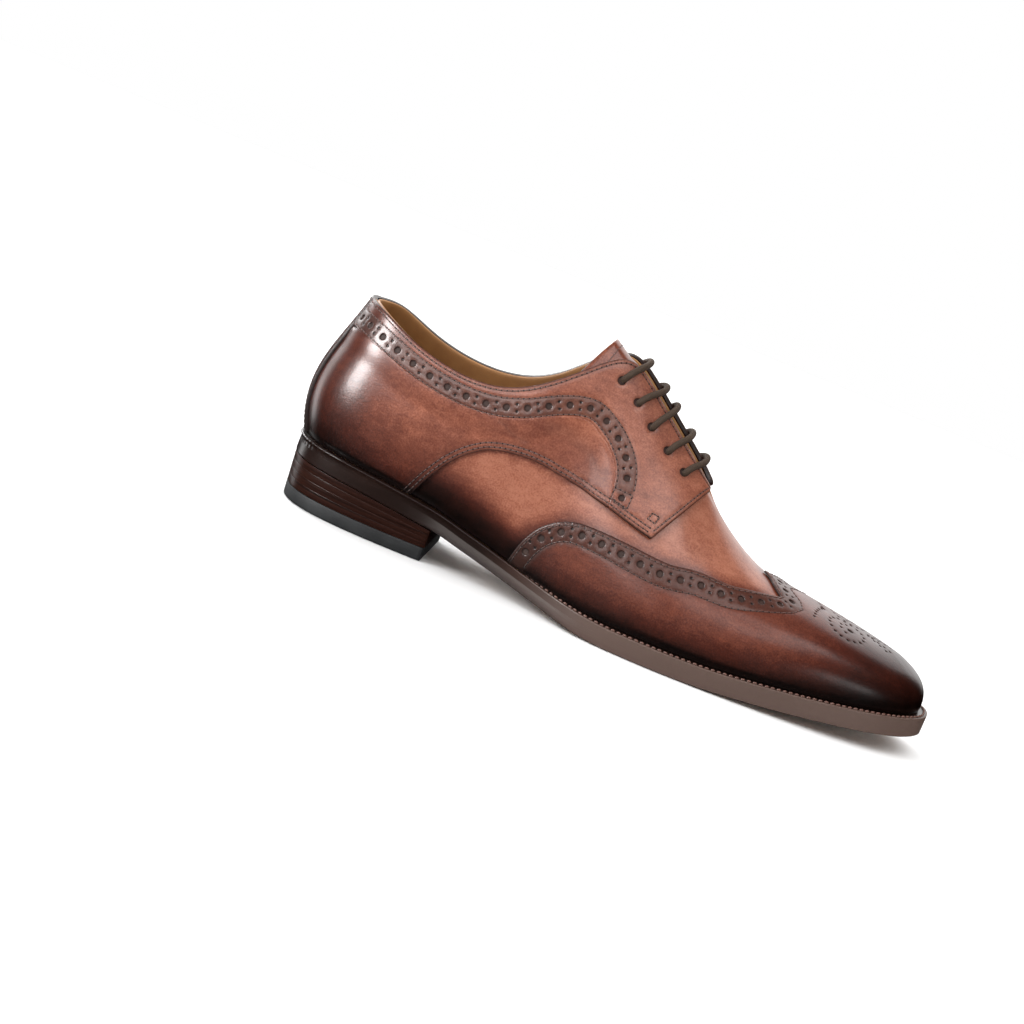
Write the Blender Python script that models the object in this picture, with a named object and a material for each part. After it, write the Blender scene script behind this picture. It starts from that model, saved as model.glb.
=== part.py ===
"""Brogue derby for the right foot: sole, heel, hollow upper with overlays, tongue, insole and lace bars.

The form is worked out in millimetres: x from the heel to the toe, y to the inner side of the foot, z up.
The finished meshes are in metres, with the origin under the middle of the shoe.
"""
import bpy
import numpy as np

# Main sizes in millimetres.
LENGTH = 306.0
BALL_WIDTH = 90.0
INSTEP_HEIGHT = 113.7
HEEL_HEIGHT = 15.0
OUTSOLE = 5.2
WELT = 3.4
GAP = 0.3
WALL = 1.8

# The sections below are drawn for these sizes, and the main sizes stretch them.
DRAWN_LENGTH = 306.0
DRAWN_BALL = 90.0
DRAWN_INSTEP = 113.7

# One row per section, heel to toe. Feather line: x, out (lateral y), inn (medial y).
# Top edge (collar, then facing edge, then ridge of the vamp): top_x, top_out, top_inn, z_out, z_inn.
# rise and lean: how the side leaves the feather line. reach and drop: how it comes to the top edge.
SECTION_COLUMNS = ("x", "out", "inn", "top_x", "top_out", "top_inn", "z_out", "z_inn",
                   "rise_out", "rise_inn", "lean_out", "lean_inn", "reach", "drop")
SECTIONS = [
    (5.0, 0.0, 0.0, 11.5, 0.0, 0.0, 95.8, 95.8, 25, 25, 11.5, 11.5, 7.0, -26),
    (8.4, -14.0, 14.0, 14.8, -10.5, 10.5, 95.2, 95.2, 25, 25, 10.5, 10.5, 6.5, -25),
    (19.0, -25.0, 24.5, 23.5, -19.5, 19.5, 92.8, 93.3, 24, 24, 9.0, 9.0, 6.0, -23),
    (38.0, -30.5, 28.5, 39.0, -25.0, 24.5, 87.3, 87.0, 22, 22, 7.0, 7.0, 5.0, -20),
    (60.0, -31.2, 27.0, 58.5, -27.5, 26.5, 83.3, 82.8, 22, 24, 6.0, 7.0, 4.5, -19),
    (82.0, -30.6, 24.0, 79.0, -28.0, 26.5, 84.3, 83.8, 24, 28, 5.0, 7.0, 5.0, -20),
    (100.0, -31.0, 23.6, 97.0, -25.5, 24.0, 93.0, 92.4, 27, 31, 4.5, 7.0, 8.0, -24),
    (115.0, -33.4, 25.0, 113.0, -18.0, 17.5, 106.6, 107.4, 29, 32, 4.0, 7.0, 11.0, -25),
    (128.0, -37.0, 28.0, 127.0, -9.0, 9.0, 113.7, 114.3, 29, 31, 3.5, 6.5, 14.0, -22),
    (143.0, -41.0, 32.4, 142.5, -6.5, 6.5, 104.2, 105.8, 28, 29, 3.2, 5.5, 15.0, -18),
    (160.0, -44.1, 37.0, 160.0, -6.0, 6.0, 90.2, 92.2, 26, 26, 3.0, 4.5, 16.0, -16),
    (177.0, -45.2, 40.6, 176.5, -5.0, 5.0, 77.2, 78.6, 24, 24, 2.8, 3.6, 17.5, -11),
    (191.0, -44.9, 42.6, 188.5, 0.0, 0.0, 66.6, 66.6, 22, 22, 2.8, 3.0, 20.0, -2),
    (214.0, -42.6, 42.7, 211.5, 0.3, 0.3, 51.7, 51.7, 22, 22, 3.0, 3.0, 26.5, 0),
    (240.0, -38.3, 39.2, 237.0, 1.0, 1.0, 45.2, 45.2, 21.5, 21.5, 3.2, 3.2, 31.0, 0),
    (264.0, -32.5, 33.4, 258.0, 1.8, 1.8, 41.9, 41.9, 19, 19, 3.0, 3.0, 28.0, 0),
    (281.5, -26.1, 27.2, 271.3, 2.0, 2.0, 39.8, 39.8, 15, 15, 2.8, 2.8, 22.5, 0),
    (293.4, -17.9, 20.0, 277.8, 2.0, 2.0, 38.7, 38.7, 12, 12, 2.2, 2.2, 18.5, 0),
    (299.9, -7.7, 11.0, 279.6, 2.0, 2.0, 38.4, 38.4, 10, 10, 2.0, 2.0, 16.0, 0),
    (301.2, 1.9, 1.9, 279.6, 2.0, 2.0, 38.4, 38.4, 10, 10, 2.0, 2.0, 16.0, 0),
]
THROAT = 12
POLE = 18
TIP = len(SECTIONS) - 1
POLE_SLOPE = -0.2

# Underside of the outsole: x, height above the floor.
SOLE_LINE = [(0, 20.6), (30, 19.4), (70, 15.4), (94, 10.0), (118, 5.0), (140, 1.6), (158, 0.25), (168, 0.0),
             (192, 0.0), (204, 0.2), (230, 1.9), (260, 4.7), (285, 7.5), (308, 10.2)]

# Sole edge beyond the feather line: x, lateral reach, medial reach, bevel under the edge.
SOLE_EDGE = [(0, 2.4, 2.4, 0.0), (50, 2.4, 2.4, 0.0), (68, 2.0, 2.0, 0.4), (80, 1.0, 0.5, 2.6),
             (110, 0.6, 0.2, 3.4), (130, 1.4, 0.4, 3.0), (143, 3.6, 1.6, 1.2), (152, 5.0, 3.4, 0.3),
             (165, 5.4, 4.6, 0.0), (200, 5.2, 5.2, 0.0), (250, 4.8, 4.8, 0.0), (308, 4.6, 4.6, 0.0)]


def pchip(xs, ys):
    """Smooth curve through points that keeps flat runs flat."""
    xs = np.asarray(xs, float)
    ys = np.asarray(ys, float)
    step = np.diff(xs)
    slope = np.diff(ys) / step
    m = np.zeros_like(ys)
    m[0] = slope[0]
    m[-1] = slope[-1]
    for i in range(1, len(xs) - 1):
        if slope[i - 1] * slope[i] > 0:
            w1 = 2 * step[i] + step[i - 1]
            w2 = step[i] + 2 * step[i - 1]
            m[i] = (w1 + w2) / (w1 / slope[i - 1] + w2 / slope[i])

    def at(x):
        x = np.clip(np.asarray(x, float), xs[0], xs[-1])
        i = np.clip(np.searchsorted(xs, x, "right") - 1, 0, len(xs) - 2)
        t = (x - xs[i]) / step[i]
        return ((1 + 2 * t) * (1 - t) ** 2 * ys[i] + t * (1 - t) ** 2 * step[i] * m[i]
                + t * t * (3 - 2 * t) * ys[i + 1] + t * t * (t - 1) * step[i] * m[i + 1])
    return at


def ring_spline(rows):
    """Closed cubic spline through rows of numbers, one row per whole step of u."""
    q = np.asarray(rows, float)
    n = len(q)
    a = 4 * np.eye(n) + np.roll(np.eye(n), 1, 1) + np.roll(np.eye(n), -1, 1)
    m = np.linalg.solve(a, 6 * (np.roll(q, -1, 0) - 2 * q + np.roll(q, 1, 0)))

    def at(u):
        u = np.mod(np.asarray(u, float), n)
        i = np.minimum(u.astype(int), n - 1)
        j = (i + 1) % n
        b = (u - i)[..., None]
        c = 1 - b
        return m[i] * (c ** 3 - c) / 6 + m[j] * (b ** 3 - b) / 6 + q[i] * c + q[j] * b
    return at


def section_rows():
    """Rows round the shoe: lateral side from the heel to the toe tip, then the medial side back."""
    lat = []
    med = []
    for row in SECTIONS:
        s = dict(zip(SECTION_COLUMNS, row))
        for side, rows in (("out", lat), ("inn", med)):
            rows.append((s["x"] * LENGTH / DRAWN_LENGTH, s[side] * BALL_WIDTH / DRAWN_BALL,
                         s["top_x"] * LENGTH / DRAWN_LENGTH, s["top_" + side] * BALL_WIDTH / DRAWN_BALL,
                         s["z_" + side] * INSTEP_HEIGHT / DRAWN_INSTEP,
                         s["rise_" + side], s["lean_" + side], s["reach"], s["drop"]))
    return lat + med[-2:0:-1]


TURN = 2 * TIP
section_at = ring_spline(section_rows())
sole_line = pchip(*zip(*[(x * LENGTH / DRAWN_LENGTH, z) for x, z in SOLE_LINE]))
edge_x, edge_lat, edge_med, edge_bevel = zip(*SOLE_EDGE)
reach_lat = pchip(edge_x, edge_lat)
reach_med = pchip(edge_x, edge_med)
bevel_at = pchip(edge_x, edge_bevel)


def welt_top(x):
    return sole_line(x) + OUTSOLE + GAP + WELT


def station(u):
    """Section number counted from the heel, the same on both sides."""
    u = np.mod(u, TURN)
    return np.minimum(u, TURN - u)


def top_edge(u):
    """Top edge of the sides. On the vamp both sides share the ridge, which ends at the toe's pole."""
    u = np.mod(np.asarray(u, float), TURN)
    k = np.minimum(station(u), POLE)
    lat = section_at(k)[..., 2:5]
    med = section_at(TURN - k)[..., 2:5]
    own = np.where((u <= TIP)[..., None], lat, med)
    return np.where((k >= THROAT)[..., None], (lat + med) / 2, own)


def outward(u, step=0.004):
    """Level direction out of the feather line."""
    t = section_at(u + step)[..., :2] - section_at(u - step)[..., :2]
    t /= np.linalg.norm(t, axis=-1, keepdims=True)
    return np.stack([t[..., 1], -t[..., 0]], -1)


def ridge_slope(u):
    k = np.clip(station(u), THROAT - 1, POLE - 0.5)
    d = top_edge(k + 0.02) - top_edge(k - 0.02)
    slope = d[..., 2] / d[..., 0]
    near = np.clip((station(u) - POLE + 1) * 2, 0, 1)
    slope = slope * (1 - near) + POLE_SLOPE * near
    return slope * np.clip(station(u) - THROAT + 1, 0, 1)


def surface(u, v):
    """Outer face of the upper: u round the sections, v from the feather line (0) to the top edge (1)."""
    u, v = np.broadcast_arrays(np.asarray(u, float), np.asarray(v, float))
    x, y, _, _, _, rise, lean, reach, drop = np.moveaxis(section_at(u), -1, 0)
    p0 = np.stack([x, y, welt_top(x) + GAP], -1)
    p3 = top_edge(u)
    out = outward(u)
    p1 = p0 + np.stack([lean * out[..., 0], lean * out[..., 1], rise], -1)
    way = p0[..., :2] - p3[..., :2]
    far = np.linalg.norm(way, axis=-1, keepdims=True)
    own = np.clip((far - 8) / 14, 0, 1)
    aim = out * (1 - own) + way / np.maximum(far, 1e-6) * own
    aim /= np.linalg.norm(aim, axis=-1, keepdims=True)
    p2 = p3 + np.stack([reach * aim[..., 0], reach * aim[..., 1],
                        drop + ridge_slope(u) * reach * aim[..., 0]], -1)
    t = v[..., None]
    return (1 - t) ** 3 * p0 + 3 * (1 - t) ** 2 * t * p1 + 3 * (1 - t) * t * t * p2 + t ** 3 * p3


def normal(u, v, step=0.002):
    """Outward unit normal, taken just inside the edges."""
    u, v = np.broadcast_arrays(np.asarray(u, float), np.asarray(v, float))
    v = np.clip(v, 2 * step, 1 - 4 * step)
    n = np.cross(surface(u + step, v) - surface(u - step, v), surface(u, v + step) - surface(u, v - step))
    return n / np.linalg.norm(n, axis=-1, keepdims=True)


# Layers of the upper, as distances from the form's outer face.
BASE = -1.2
LAYER = 1.1
PANEL_IN = BASE + 1.3 * GAP
PANEL_OUT = PANEL_IN + LAYER
TRIM_OUT = PANEL_OUT + 1.2

# Other sizes in millimetres.
INSOLE = 2.6
TONGUE = 1.8
TONGUE_REACH = 29.0
TONGUE_TIP = 9.5
TONGUE_TAPER = 0.10
LACE_R = 1.45
HEEL_BREAST = 75.0
HEEL_TAPER = 1.5
TOP_PIECE = 6.0
STRIP_TOP = 8.5
STRIP_FOOT = 9.5
BACK_STEP = 14.5
STATION_STEP = 16.0
SIDE_GIRTH = 85.0
SEAM_V = 1.2 * GAP / SIDE_GIRTH

# Panel lines as station (sections from the heel) and v.
QUARTER_EDGE = [(4.03, 0.0), (4.28, 0.19), (4.56, 0.35), (4.9, 0.475), (5.3, 0.548), (5.65, 0.563),
                (6.07, 0.549), (6.65, 0.506), (7.3, 0.456), (7.9, 0.433), (8.4, 0.429), (9.1, 0.442),
                (9.7, 0.457), (10.27, 0.474)]
QUARTER_FRONT = [(10.27, 0.474), (10.7, 0.671), (11.23, 0.942)]
TRIM_EDGE = [(1.0, 0.80), (2.6, 0.797), (3.4, 0.79), (4.6, 0.79), (5.5, 0.788), (6.0, 0.782), (6.4, 0.77),
             (6.9, 0.742), (7.45, 0.695), (8.0, 0.640), (8.4, 0.615), (8.7, 0.585), (8.88, 0.54),
             (9.0, 0.448)]
WING_EDGE = [(6.7, 0.0), (6.77, 0.05), (6.95, 0.138), (7.38, 0.233), (8.18, 0.304), (9.0, 0.346),
             (10.15, 0.40), (11.4, 0.45), (12.53, 0.533), (13.175, 0.676), (13.525, 0.776)]
PEAK_EDGE = [(13.15, 1.0), (13.263, 0.952), (13.407, 0.847), (13.525, 0.776)]

# Eyelets as station, v and how many stations further on the lace crosses the top edge.
EYELETS = [(7.93, 0.883, 0.40), (8.6, 0.848, 0.40), (9.18, 0.836, 0.28), (9.77, 0.842, 0.28),
           (10.33, 0.854, 0.28)]

# Rows of faces on the toe cap, below and above its valleys.
CAP_ROWS = 7
PEAK_ROWS = 3

# Columns of faces that every panel has: closer together round the heel.
SHARED_STATIONS = np.concatenate([np.arange(0, 2, 0.25), np.arange(2, TIP + 0.5, 0.5)])

PALETTE = {
    "leather": ((0.115, 0.034, 0.020, 1.0), 0.32),
    "dark leather": ((0.075, 0.024, 0.016, 1.0), 0.32),
    "lining": ((0.42, 0.22, 0.09, 1.0), 0.70),
    "sole": ((0.045, 0.022, 0.016, 1.0), 0.45),
    "rubber": ((0.020, 0.020, 0.021, 1.0), 0.75),
    "lace": ((0.040, 0.030, 0.024, 1.0), 0.80),
}
SOLIDS = []


def add_solid(name, points, faces, paint):
    SOLIDS.append((name, np.asarray(points, float), faces, paint))


def face_unit(u, v):
    """Normal of the form; on the ridge it is the mean of both sides."""
    n = normal(u, v)
    shared = (np.asarray(v) > 1 - 1e-6) & (station(u) >= THROAT)
    n = np.where(shared[..., None], n + normal(TURN - u, v), n)
    return n / np.linalg.norm(n, axis=-1, keepdims=True)


def level(u, v, distance):
    """Point at a distance from the form's outer face, kept off the welt."""
    u = np.asarray(u, float)
    v = np.asarray(v, float)
    p = surface(u, v) + face_unit(u, v) * distance
    p[..., 2] = np.maximum(p[..., 2], welt_top(p[..., 0]) + GAP)
    return p


class Sheet:
    """Patch of the form, made of columns of (u, v) points. The sides share the ridge and the toe's pole."""

    def __init__(self):
        self.index = {}
        self.uv = []
        self.faces = []

    def vertex(self, u, v):
        k = float(station(u))
        if v > 1 - 1e-6 and k >= THROAT:
            u = min(k, POLE)
        key = (round(float(u) % TURN, 4), round(float(v), 4))
        if key not in self.index:
            self.index[key] = len(self.uv)
            self.uv.append((float(u), float(v)))
        return self.index[key]

    def strip(self, first, second):
        """Faces between two columns of as many points."""
        for i in range(len(first) - 1):
            ring = []
            for u, v in (first[i], second[i], second[i + 1], first[i + 1]):
                n = self.vertex(u, v)
                if n not in ring:
                    ring.append(n)
            if len(ring) > 2:
                self.faces.append(tuple(ring))

    def solid(self, outer, inner):
        """Closed solid between two distances from the form."""
        u, v = np.array(self.uv).T
        points = np.vstack([level(u, v, outer), level(u, v, inner)])
        return points, close_sheet(self.faces, len(u))


def close_sheet(faces, count):
    """Faces of the solid whose second copy of the sheet starts at count."""
    edges = set()
    for f in faces:
        edges.update(zip(f, f[1:] + f[:1]))
    rim = [(a, b) for a, b in edges if (b, a) not in edges]
    back = [tuple(i + count for i in reversed(f)) for f in faces]
    side = [(b, a, a + count, b + count) for a, b in sorted(rim)]
    return faces + back + side


def on_side(k, side):
    """Way round the form of a station, on the lateral (-1) or medial (1) side."""
    return k if side < 0 else TURN - k


def column(k, low, high, cells, side):
    u = on_side(k, side)
    return [(u, v) for v in np.linspace(low, high, cells + 1)]


def stations(first, last, breaks=()):
    """The shared stations between two, with the breaks put in and close neighbours left out."""
    ks = [first, last] + [b for b in breaks if first < b < last]
    for k in SHARED_STATIONS:
        if first < k < last and min(abs(k - b) for b in ks) > 0.07:
            ks.append(float(k))
    return sorted(ks)


def fill(sheet, columns, side):
    """Joins neighbouring columns, turned so that the faces look outwards."""
    for a, b in zip(columns, columns[1:]):
        if side < 0:
            sheet.strip(a, b)
        else:
            sheet.strip(b, a)


def line(points):
    return pchip(*zip(*points))


quarter_low = line(QUARTER_EDGE)
quarter_front = line(QUARTER_FRONT)
trim_low = line(TRIM_EDGE)
wing_high = line(WING_EDGE)
peak_low = line(PEAK_EDGE)
QUARTER_START = QUARTER_EDGE[0][0]
QUARTER_CORNER = QUARTER_FRONT[0][0]
QUARTER_END = QUARTER_FRONT[-1][0]
TRIM_END = TRIM_EDGE[-1][0]
QUARTER_TIP = TRIM_END - 0.06
VALLEY, VALLEY_V = WING_EDGE[-1]


def quarter_bottom(k):
    if k <= QUARTER_START:
        return 0.0
    return float(quarter_low(k) if k <= QUARTER_CORNER else quarter_front(k))


def trim_bottom(k):
    return float(trim_low(k)) if k < TRIM_END else quarter_bottom(k)


def quarter_top(k):
    """Just below the trim's edge, the same distance from it where the edge runs down."""
    slope = float(trim_low(k + 0.01) - trim_low(k - 0.01)) / 0.02
    return trim_bottom(k) - SEAM_V * (1 + (slope * SIDE_GIRTH / STATION_STEP) ** 2) ** 0.5


def strip_half(v):
    """Half the width of the back strip, in stations."""
    return (STRIP_FOOT + (STRIP_TOP - STRIP_FOOT) * v) / BACK_STEP


def strip_side(low, high, cells, side):
    """Column of points just beside the back strip."""
    return [(on_side(strip_half(v) + 0.03, side), v) for v in np.linspace(low, high, cells + 1)]


def make_upper():
    """The rows of its faces are those of the toe cap, which lies close round it."""
    sheet = Sheet()
    for side in (-1, 1):
        columns = []
        for k in stations(0.0, float(TIP), (PEAK_EDGE[1][0],)):
            columns.append(column(k, 0.0, VALLEY_V, CAP_ROWS, side)
                           + column(k, VALLEY_V, 1.0, PEAK_ROWS, side)[1:])
        fill(sheet, columns, side)
    add_solid("upper", *sheet.solid(BASE, BASE - WALL), "leather")


def make_wing_cap():
    sheet = Sheet()
    for side in (-1, 1):
        ks = stations(WING_EDGE[0][0], VALLEY, (6.95, 12.2, 12.4, 12.6, 12.75, 12.88, 13.1, 13.2, 13.35))
        wing = [column(k, 0.0, float(wing_high(k)), CAP_ROWS, side) for k in ks]
        ks = stations(VALLEY, TIP)
        wing += [column(k, 0.0, VALLEY_V, CAP_ROWS, side) for k in ks[1:]]
        fill(sheet, wing, side)
        back = stations(PEAK_EDGE[0][0], VALLEY, (PEAK_EDGE[1][0], PEAK_EDGE[2][0]))
        peak = [column(k, float(peak_low(k)), 1.0, PEAK_ROWS, side) for k in back]
        peak += [column(k, VALLEY_V, 1.0, PEAK_ROWS, side) for k in ks[1:]]
        fill(sheet, peak, side)
    add_solid("wing_cap", *sheet.solid(PANEL_OUT, PANEL_IN), "dark leather")


def make_quarter(name, side):
    sheet = Sheet()
    ks = stations(1.0, QUARTER_TIP, (QUARTER_START, 4.28, 4.7, 8.7, 8.88))
    columns = [strip_side(0.0, quarter_top(1.0), 5, side)]
    columns += [column(k, quarter_bottom(k), quarter_top(k), 5, side) for k in ks]
    fill(sheet, columns, side)
    add_solid(name, *sheet.solid(PANEL_OUT, PANEL_IN), "leather")


def make_trim(name, side):
    """Collar and facing piece, which carries the punched band."""
    sheet = Sheet()
    ks = stations(1.0, QUARTER_END, (8.7, 8.88, TRIM_END, QUARTER_CORNER, 10.4, 10.62, 10.75, 10.88, 11.1))
    columns = [strip_side(trim_bottom(1.0), 1.0, 5, side)]
    columns += [column(k, trim_bottom(k), 1.0, 5, side) for k in ks]
    fill(sheet, columns, side)
    add_solid(name, *sheet.solid(TRIM_OUT, PANEL_IN), "leather")


def make_back_strip():
    sheet = Sheet()
    columns = []
    for share in np.linspace(-1, 1, 7):
        columns.append([(share * strip_half(v), v) for v in np.linspace(0, 1, 9)])
    fill(sheet, columns, -1)
    add_solid("back_strip", *sheet.solid(TRIM_OUT, PANEL_IN), "leather")


def resample(points, count):
    """The same path with its points evenly spaced."""
    points = np.asarray(points, float)
    run = np.concatenate([[0], np.cumsum(np.linalg.norm(np.diff(points, axis=0), axis=1))])
    want = np.linspace(0, run[-1], count)
    return np.stack([np.interp(want, run, c) for c in points.T], -1)


def across(k, depth, lowest, bow, lean=0.0):
    """Path over the instep from one station, leaning forward, from the lateral to the medial side."""
    v = np.linspace(lowest, 1.0, 24)
    k = k + np.linspace(0.0, lean, 24)
    lat = level(on_side(k, -1), v, depth)
    med = level(on_side(k, 1), v, depth)[::-1]
    gap = np.linalg.norm(med[0] - lat[-1])
    if gap < 0.5:
        return np.vstack([lat, med[1:]])
    t = np.linspace(0, 1, 9)[1:-1, None]
    out_lat = (lat[-1] - lat[-3]) / np.linalg.norm(lat[-1] - lat[-3]) * gap * bow
    out_med = (med[2] - med[0]) / np.linalg.norm(med[2] - med[0]) * gap * bow
    bridge = ((1 + 2 * t) * (1 - t) ** 2 * lat[-1] + t * (1 - t) ** 2 * out_lat
              + t * t * (3 - 2 * t) * med[0] + t * t * (t - 1) * out_med)
    return np.vstack([lat, bridge, med])


def middle_part(points, reach, count):
    """The part of a path within reach of its middle."""
    fine = resample(points, 161)
    step = np.linalg.norm(np.diff(fine, axis=0), axis=1).mean()
    n = min(80, int(reach / step))
    return resample(fine[80 - n:81 + n], count)


def make_tongue():
    """Sections under the facings, from under the vamp to the facing's top, then straight on to the tip."""
    count = 11
    faces_at = []
    for depth in (BASE - WALL - 0.5, BASE - WALL - 0.5 - TONGUE):
        rows = []
        for k in np.arange(12.6, 7.9, -0.46):
            rows.append(middle_part(across(k, depth, 0.5, 0.6), TONGUE_REACH, count))
        way = rows[-1][count // 2] - rows[-3][count // 2]
        way /= np.linalg.norm(way)
        tip = rows[-1][count // 2] + way * TONGUE_TIP
        last = rows[-1]
        to_cut = ((tip - last) @ way)[:, None]
        for share in (0.5, 1.0):
            moved = last + way * to_cut * share
            moved[:, 1] *= 1 - TONGUE_TAPER * share
            rows.append(moved)
        faces_at.append(np.array(rows))
    outer, inner = faces_at
    n = outer.shape[0]
    faces = []
    for i in range(n - 1):
        for j in range(count - 1):
            a = i * count + j
            faces.append((a, a + 1, a + count + 1, a + count))
    points = np.vstack([outer.reshape(-1, 3), inner.reshape(-1, 3)])
    add_solid("tongue", points, close_sheet(faces, n * count), "leather")


def tube(path, radius, sides):
    """Closed round tube along a path."""
    path = np.asarray(path, float)
    ahead = np.gradient(path, axis=0)
    ahead /= np.linalg.norm(ahead, axis=1, keepdims=True)
    first = np.cross(ahead, (1.0, 0.0, 0.0))
    first /= np.linalg.norm(first, axis=1, keepdims=True)
    second = np.cross(ahead, first)
    turn = np.arange(sides) * 2 * np.pi / sides
    round_it = first[:, None] * np.cos(turn)[:, None] + second[:, None] * np.sin(turn)[:, None]
    rings = path[:, None] + radius * round_it
    n = len(path)
    faces = []
    for i in range(n - 1):
        for j in range(sides):
            a = i * sides + j
            b = i * sides + (j + 1) % sides
            faces.append((a, b, b + sides, a + sides))
    faces.append(tuple(reversed(range(sides))))
    faces.append(tuple(range((n - 1) * sides, n * sides)))
    return rings.reshape(-1, 3), faces


def make_laces():
    """Taut bars from eyelet to eyelet, which lie on the facings square to their edges."""
    height = TRIM_OUT + 2 * GAP + LACE_R
    for n, (k, v, lean) in enumerate(EYELETS, 1):
        path = resample(across(k, height, v, 0.5, lean), 60)
        for _ in range(14):
            path[1:-1] = (path[:-2] + 2 * path[1:-1] + path[2:]) / 4
        add_solid("lace_bar_%d" % n, *tube(resample(path, 13), LACE_R, 6), "lace")


RING = np.concatenate([SHARED_STATIONS[:-1], TURN - SHARED_STATIONS[:0:-1]])


def outline(u, reach):
    """Sole outline at a reach beyond the feather line."""
    u = np.asarray(u, float)
    return section_at(u)[..., :2] + outward(u) * np.asarray(reach)[..., None]


def own_reach(u):
    x, y = section_at(u)[..., 0], section_at(u)[..., 1]
    lateral = np.mod(u, TURN) <= TIP
    return np.where(lateral, reach_lat(x), reach_med(x)), x


def with_height(xy, height):
    """Points of an outline at a height worked out from x."""
    return np.column_stack([xy, height(xy[:, 0])])


def stack(rings):
    """Closed solid through rings of points, lowest first, each from the lateral to the medial side."""
    n = len(rings[0])
    faces = []
    for level_no in range(len(rings) - 1):
        a = level_no * n
        for i in range(n):
            j = (i + 1) % n
            faces.append((a + i, a + j, a + n + j, a + n + i))
    top = (len(rings) - 1) * n
    return np.vstack(rings), faces, top


def cap_ring(n):
    """Quads across a ring that starts at the heel's back."""
    quads = []
    for i in range(n // 2):
        ring = []
        for p in (i, i + 1, (n - i - 1) % n, (n - i) % n):
            if p not in ring:
                ring.append(p)
        if len(ring) > 2:
            quads.append(tuple(ring))
    return quads


def add_plate(name, rings, caps, paint):
    points, faces, top = stack(rings)
    faces = faces + [tuple(reversed(q)) for q in caps]
    faces = faces + [tuple(i + top for i in q) for q in caps]
    add_solid(name, points, faces, paint)


def make_sole():
    reach, x = own_reach(RING)
    bevel = bevel_at(x)
    caps = cap_ring(len(RING))
    low = with_height(outline(RING, reach - bevel - 0.5), sole_line)
    edge = outline(RING, reach)
    lift = 0.5 + 0.9 * bevel
    mid = with_height(edge, sole_line)
    mid[:, 2] += lift
    high = with_height(edge, lambda q: sole_line(q) + OUTSOLE)
    add_plate("outsole", [low, mid, high], caps, "sole")
    bead = np.clip((95 - x) / 25, 0, 1)
    low = with_height(outline(RING, reach + 0.3 * bead), lambda q: welt_top(q) - WELT)
    mid = with_height(outline(RING, reach + 1.0 * bead), lambda q: welt_top(q) - 0.5 * WELT)
    high = with_height(outline(RING, reach - 0.6 * bead - 0.3), welt_top)
    add_plate("welt", [low, mid, high], caps, "sole")
    inset = np.full(len(RING), BASE - WALL - 0.5)
    low = with_height(outline(RING, inset), lambda q: welt_top(q) + GAP)
    high = with_height(outline(RING, inset), lambda q: welt_top(q) + GAP + INSOLE)
    add_plate("insole", [low, high], caps, "lining")


def heel_ring(shrink):
    """Heel outline from the medial breast corner round the back to the lateral one."""
    fine = np.linspace(-8, 8, 641)
    edge = outline(fine, own_reach(fine)[0] - shrink)
    ends = []
    for half in (fine < 0, fine > 0):
        order = np.argsort(edge[half, 0])
        ends.append(np.interp(HEEL_BREAST, edge[half, 0][order], fine[half][order]))
    u = np.linspace(ends[0], ends[1], 31)
    edge = outline(u, own_reach(u)[0] - shrink)
    edge[[0, -1], 0] = HEEL_BREAST
    return edge


def make_heel():
    def at(height, shrink):
        xy = heel_ring(shrink)
        z = height(xy[:, 0]) if callable(height) else np.full(len(xy), float(height))
        return np.column_stack([xy, z])
    caps = []
    for i in range(15):
        ring = []
        for p in (i, i + 1, 30 - i - 1, 30 - i):
            if p not in ring:
                ring.append(p)
        caps.append(tuple(ring))
    share = TOP_PIECE / (HEEL_HEIGHT + 5)
    head = HEEL_TAPER * (1 - share) + 0.2
    add_plate("top_piece", [at(0, HEEL_TAPER + 0.2), at(TOP_PIECE, head)], caps, "rubber")
    add_plate("heel_stack", [at(TOP_PIECE + GAP, head), at(lambda x: sole_line(x) - GAP, 0.2)], caps, "sole")


def make_material(name, paint):
    colour, rough = PALETTE[paint]
    material = bpy.data.materials.new(name)
    material.use_nodes = True
    shader = material.node_tree.nodes["Principled BSDF"]
    shader.inputs["Base Color"].default_value = colour
    shader.inputs["Roughness"].default_value = rough
    return material


def put_in_scene():
    """Meshes in metres, moved so that the origin is under the middle of the shoe."""
    every = np.vstack([points for _, points, _, _ in SOLIDS])
    low = every.min(axis=0)
    high = every.max(axis=0)
    origin = np.array([(low[0] + high[0]) / 2, (low[1] + high[1]) / 2, low[2]])
    for name, points, faces, paint in SOLIDS:
        mesh = bpy.data.meshes.new(name)
        mesh.from_pydata(((points - origin) * 0.001).tolist(), [], faces)
        mesh.validate()
        mesh.update()
        obj = bpy.data.objects.new(name, mesh)
        obj.data.materials.append(make_material(name, paint))
        bpy.context.scene.collection.objects.link(obj)


def clear_scene():
    for obj in list(bpy.data.objects):
        bpy.data.objects.remove(obj, do_unlink=True)


clear_scene()
make_sole()
make_heel()
make_upper()
make_quarter("quarter_lateral", -1)
make_quarter("quarter_medial", 1)
make_trim("facing_lateral", -1)
make_trim("facing_medial", 1)
make_back_strip()
make_wing_cap()
make_tongue()
make_laces()
put_in_scene()
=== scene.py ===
import math
import bpy
import numpy as np
from mathutils import Matrix, Vector
from mathutils.geometry import delaunay_2d_cdt
from mathutils.kdtree import KDTree


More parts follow.
